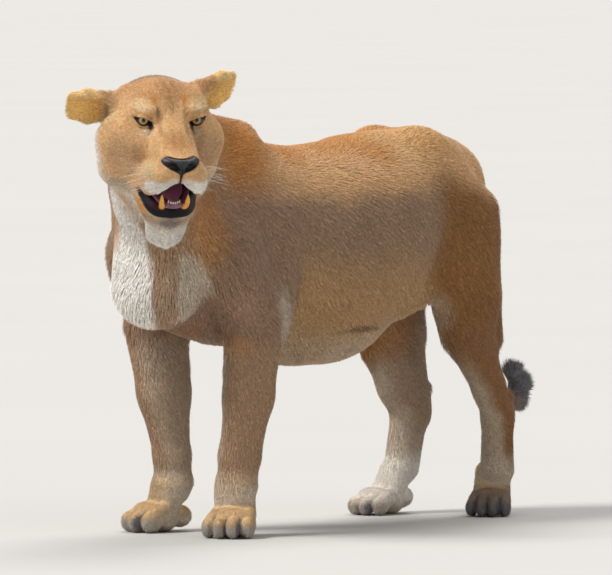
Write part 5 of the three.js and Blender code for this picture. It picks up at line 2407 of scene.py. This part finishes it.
@dataclass
class Nose(Fitting):
    """The nose leather: a shell over the end of the muzzle, with two nostrils and the groove below."""

    proud: float = 1.2  # how far it stands out of the coat's outline
    thick: float = 9.0  # thickness of the shell
    cell: float = 1.5  # size of the lattice that it is made on
    nostril: tuple[Lump, ...] = (
        L((12, -133, -71), (22, -131, -65), (5.5, 9), (7.5, 10), 1),
        L((22, -131, -65), (41, -120, -62), (7.5, 10), (4, 8), 5),
    )

    def build(self) -> list[bpy.types.Object]:
        """Make the nose.

        Returns:
            The piece.
        """
        surface = Net(self.field, (-48, -150, -116), (48, -92, -40), self.cell).surface()
        surface.points = surface.smoothed(surface.points, 2, 0.5)
        surface.points = self.anatomy.head.world(surface.points)
        return [self.bench.piece("nose_leather", surface, NOSE, "nose", ("nose",))]

    def field(self, q: Array) -> Array:
        """Give the nose's field.

        Args:
            q: points in the head's frame.

        Returns:
            Distances, negative inside.
        """
        outside = self.anatomy.outline(self.anatomy.head.world(q).astype(np.float32))
        shell = np.maximum(outside - self.proud, -outside - self.thick)
        d = -smooth_min(-shell, -nose_mask(q), 4)
        mirrored = folded(q)
        hollow = self.nostril[0].distance(mirrored)
        hollow = smooth_min(hollow, self.nostril[1].distance(mirrored), 5)
        groove = np.hypot(q[:, 0], np.minimum(outside + 1.0, 0)) - 1.0
        d = -smooth_min(-d, hollow, 3)
        return np.where(q[:, 2] < -72, -smooth_min(-d, groove, 2), d)


@dataclass
class Mouth(Fitting):
    """Teeth, gums and tongue of the lower jaw, in the jaw's frame."""

    canine_foot: tuple[float, float, float] = (26, -103, -110)  # where the left canine stands
    canine_tip: tuple[float, float, float] = (31, -101, -73)  # its tip
    canine_radius: float = 7.2  # its radius at the foot
    incisors: int = 6  # how many small teeth stand between the canines

    def build(self) -> list[bpy.types.Object]:
        """Make the mouth's pieces."""
        return [self.canines(), self.front_teeth(), self.gums(), self.tongue()]

    def jaw_piece(
        self, name: str, surface: Surface, finish: Finish, slot: str, **more: object
    ) -> bpy.types.Object:
        """Make a piece that is given in the jaw's frame."""
        surface.points = self.anatomy.jaw.world(surface.points)
        return self.bench.piece(name, surface, finish, slot, **more)

    def canines(self) -> bpy.types.Object:
        """Make the two lower canines, curved back towards their tips.

        Returns:
            The piece.
        """
        t = np.linspace(0, 1, 22)
        parts = []
        for side in (1, -1):
            foot, tip = (np.array(place) * (side, 1, 1) for place in (self.canine_foot, self.canine_tip))
            line = foot + t[:, None] * (tip - foot)
            line[:, 1] -= 7.0 * np.sin(np.pi * t**0.8)
            line[:, 0] += side * 1.5 * np.sin(np.pi * t)
            taper = np.maximum(1 - t**2.1, 0.0) ** 0.75
            radii = self.canine_radius * taper * (1 + 0.06 * np.sin(np.pi * t)) + 0.35
            parts.append(strand(line, radii, 20, 0.86))
        along = np.concatenate([np.append(np.repeat(t, 20), [0, 1])] * 2)
        return self.jaw_piece("canines", joined(parts), TEETH, "eye", attributes={"along": along})

    def front_teeth(self) -> bpy.types.Object:
        """Make the row of small front teeth.

        Returns:
            The piece.
        """
        t = np.linspace(0, 1, 8)
        parts = []
        for k in range(self.incisors):
            x = 5.2 * (k - (self.incisors - 1) / 2)
            height = 15 + 0.2 * abs(x)
            line = np.stack([np.full(8, x), -106 + 0.02 * x * x - 1.5 * t, -105 + height * t], 1)
            radii = 2.5 * np.maximum(1 - 0.9 * t**3, 0.1) * (0.85 + 0.25 * np.sin(np.pi * t))
            parts.append(strand(line, radii, 10, 0.8))
        along = np.concatenate([np.append(np.repeat(t, 10), [0, 1])] * self.incisors)
        return self.jaw_piece("front_teeth", joined(parts), INCISORS, "eye", attributes={"along": along})

    def gums(self) -> bpy.types.Object:
        """Make the ridge that the teeth stand in.

        Returns:
            The piece.
        """
        angle = np.radians(np.linspace(-180, 0, 60))
        x = 31 * np.cos(angle) + 10 * np.cos(angle) ** 3
        y = -83 + 22 * np.sin(angle) + 46 * np.cos(angle) ** 6
        line = np.stack([x, y, np.full(60, -104.0)], 1)
        radii = 8.0 + 0.8 * np.sin(np.linspace(0, 40, 60)) ** 2
        radii[[0, -1]] = 3
        return self.jaw_piece("gums", strand(line, radii, 14, 0.9), GUMS, "tongue")

    def tongue(self) -> bpy.types.Object:
        """Make the tongue: broad, grooved down the middle and turned down at its tip.

        Returns:
            The piece.
        """
        t = np.linspace(0, 1, 40)
        y = 46 - 142 * t
        rounded = np.sqrt(np.maximum(1 - np.maximum((t - 0.62) / 0.38, 0) ** 2, 0.004))
        half = 32 * rounded * (0.88 + 0.12 * np.sin(np.pi * t))
        depth = 9.5 * np.sqrt(np.maximum(1 - np.maximum((t - 0.72) / 0.28, 0) ** 2, 0.01))
        rise = -100 + 3 * np.sin(np.pi * t * 0.9) - 5 * np.maximum(t - 0.7, 0) / 0.3
        angle = 2 * np.pi * np.arange(32) / 32
        x = half[:, None] * np.cos(angle)
        groove = 3.4 * np.exp(-((np.cos(angle) / 0.22) ** 2)) * (np.sin(angle) > 0)
        z = rise[:, None] + depth[:, None] * np.sin(angle) - groove * (half / 32)[:, None]
        rings = np.stack([x, np.repeat(y[:, None], 32, 1), z], -1)
        return self.jaw_piece("tongue_body", loft(rings), TONGUE, "tongue", replaced=("tongue",))


@dataclass
class Whiskers(Fitting):
    """Long white bristles on the pads and over the eyes, and dark roots for them."""

    rows: int = 4  # rows of whiskers on each pad
    each: int = 4  # whiskers in a row

    def build(self) -> list[bpy.types.Object]:
        """Make the whiskers.

        Returns:
            The piece.
        """
        random = np.random.default_rng(SEED + 1)
        head = self.anatomy.head
        parts, along = [], []
        t = np.linspace(0, 1, 14)
        for side in (1, -1):
            starts = []
            for row in range(self.rows):
                for k in range(self.each):
                    starts.append((34 + 10 * k, -112 + 12 * k, -84 - 9 * row, 58 + 22 * random.random()))
            starts += [(52 + 6 * k, -8, 30 + 3 * k, 38.0) for k in range(3)]
            for x, y, z, length in starts:
                out = unit((side * 0.9, 0.28 + 0.2 * random.random(), -0.12 + 0.25 * random.normal() * 0.5))
                if z > 0:
                    out = unit((side * 0.5, -0.5, 0.7))
                base = settled(self.anatomy.skin_of_head, np.array([[side * x, y, z]], float), 4)[0]
                droop = np.array([0, 0.16, -0.22])
                line = base - 2 * out + length * (t[:, None] * out + (t**2)[:, None] * droop)
                radii = 0.42 * (1 - t) ** 0.7 + 0.08
                parts.append(strand(line, radii, 5))
                along.append(np.append(np.repeat(t, 5), [0, 1]))
        surface = joined(parts)
        surface.points = head.world(surface.points)
        return [self.bench.piece("whiskers", surface, BRISTLE, "pale_coat",
                                 attributes={"along": np.concatenate(along)})]


# ---- lioness and studio


@dataclass
class Lioness:
    """The whole animal."""

    bench: Bench  # makes the pieces
    tufts: int = 236000  # how many tufts the coat has

    def build(self) -> list[bpy.types.Object]:
        """Make every piece.

        Returns:
            The pieces.
        """
        anatomy = Anatomy()
        markings = Markings(anatomy)
        skin = Skin(anatomy)
        made = [self.hide(skin, markings)]
        for part in (Eyes, Nose, Mouth, Whiskers):
            made += part(self.bench, anatomy).build()
        coat = Coat(anatomy, skin, markings, self.tufts)
        for name, surface, attributes, uv, facing in coat.pieces():
            made.append(self.bench.piece(name, surface, COAT, "coat", (), attributes, uv, facing))
        return made

    def hide(self, skin: Skin, markings: Markings) -> bpy.types.Object:
        """Make the skin in place of the CAD nodes of flesh.

        Args:
            skin: its surface.
            markings: its colours.

        Returns:
            The piece.
        """
        colours = markings.colour(skin.surface.points, skin.normals)
        attributes = {"marking": colours, "wet": skin.wet}
        return self.bench.piece("skin", skin.surface, SKIN, "coat", FLESH_NODES, attributes)


FLESH_NODES = (
    "neck", "chest", "barrel", "rump", "head", "jaw", "ear_left", "ear_right",
    "tail_base", "tail_middle", "tail_end", "tail_tuft",
    *(f"{part}_{side}" for side in ("left", "right") for part in (
        "upper_arm", "forearm", "forepaw", "thigh", "shank", "hind_foot", "hindpaw")),
)


def toward(azimuth: float, elevation: float) -> Vector:
    """Give the way to a light or camera, from degrees round to her left and degrees up."""
    a, e = math.radians(azimuth), math.radians(elevation)
    return Vector((math.sin(a) * math.cos(e), -math.cos(a) * math.cos(e), math.sin(e)))


@dataclass
class Studio:
    """Plain pale floor, soft light and the camera."""

    bench: Bench  # knows where the body's frame is
    azimuth: float = 40.0  # degrees that the camera stands round to her left from the front
    elevation: float = 4.0  # degrees that it stands up
    distance: float = 22.0  # metres from the body's origin
    rise: float = 0.5656  # metres that it is aimed above the origin, across the view
    aside: float = -0.0024  # metres that it is aimed to the right of it
    lens: float = 543.5  # focal length in millimetres
    floor_size: float = 600.0

    def build(self) -> None:
        """Make the studio."""
        self.floor()
        self.light()
        self.camera()

    def floor(self) -> None:
        """Lay the floor."""
        half = self.floor_size / 2
        mesh = bpy.data.meshes.new("floor")
        corners = [(-half, -half, 0), (half, -half, 0), (half, half, 0), (-half, half, 0)]
        mesh.from_pydata(corners, [], [(0, 1, 2, 3)])
        mesh.materials.append(FLOOR.material())
        floor = bpy.data.objects.new("floor", mesh)
        bpy.context.scene.collection.objects.link(floor)

    def light(self) -> None:
        """Set a soft sky, a key light, a fill and a rim light."""
        world = bpy.data.worlds.new("studio")
        world.use_nodes = True
        back = world.node_tree.nodes["Background"]
        back.inputs["Color"].default_value = (0.86, 0.88, 0.9, 1)
        back.inputs["Strength"].default_value = 0.42
        bpy.context.scene.world = world
        bpy.context.scene.view_settings.view_transform = "Standard"
        for name, azimuth, elevation, softness, power in (
            ("key", -26, 50, 20, 2.8),
            ("fill", 85, 30, 60, 0.4),
            ("rim", 200, 62, 30, 1.4),
        ):
            data = bpy.data.lights.new(name, "SUN")
            data.angle = math.radians(softness)
            data.energy = power
            light = bpy.data.objects.new(name, data)
            light.rotation_euler = toward(azimuth, elevation).to_track_quat("Z", "Y").to_euler()
            bpy.context.scene.collection.objects.link(light)

    def camera(self) -> None:
        """Stand the camera in front of her and to her left."""
        away = toward(self.azimuth, self.elevation)
        right = toward(self.azimuth + 90, 0)
        up = away.cross(right)
        origin = Vector(self.bench.place(np.zeros(3)).tolist())
        data = bpy.data.cameras.new("camera")
        data.lens = self.lens
        data.clip_end = 200
        camera = bpy.data.objects.new("camera", data)
        camera.location = origin + away * self.distance
        aim = origin + up * self.rise + right * self.aside
        camera.rotation_euler = (camera.location - aim).to_track_quat("Z", "Y").to_euler()
        bpy.context.scene.collection.objects.link(camera)
        bpy.context.scene.camera = camera


def main() -> None:
    """Build the lioness and the studio, and write down how large the model is."""
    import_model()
    bench = Bench()
    Studio(bench).build()
    for piece in Lioness(bench).build():
        LOG.info("%s: %d faces", piece.name, len(piece.data.polygons))


if __name__ == "__main__":
    main()
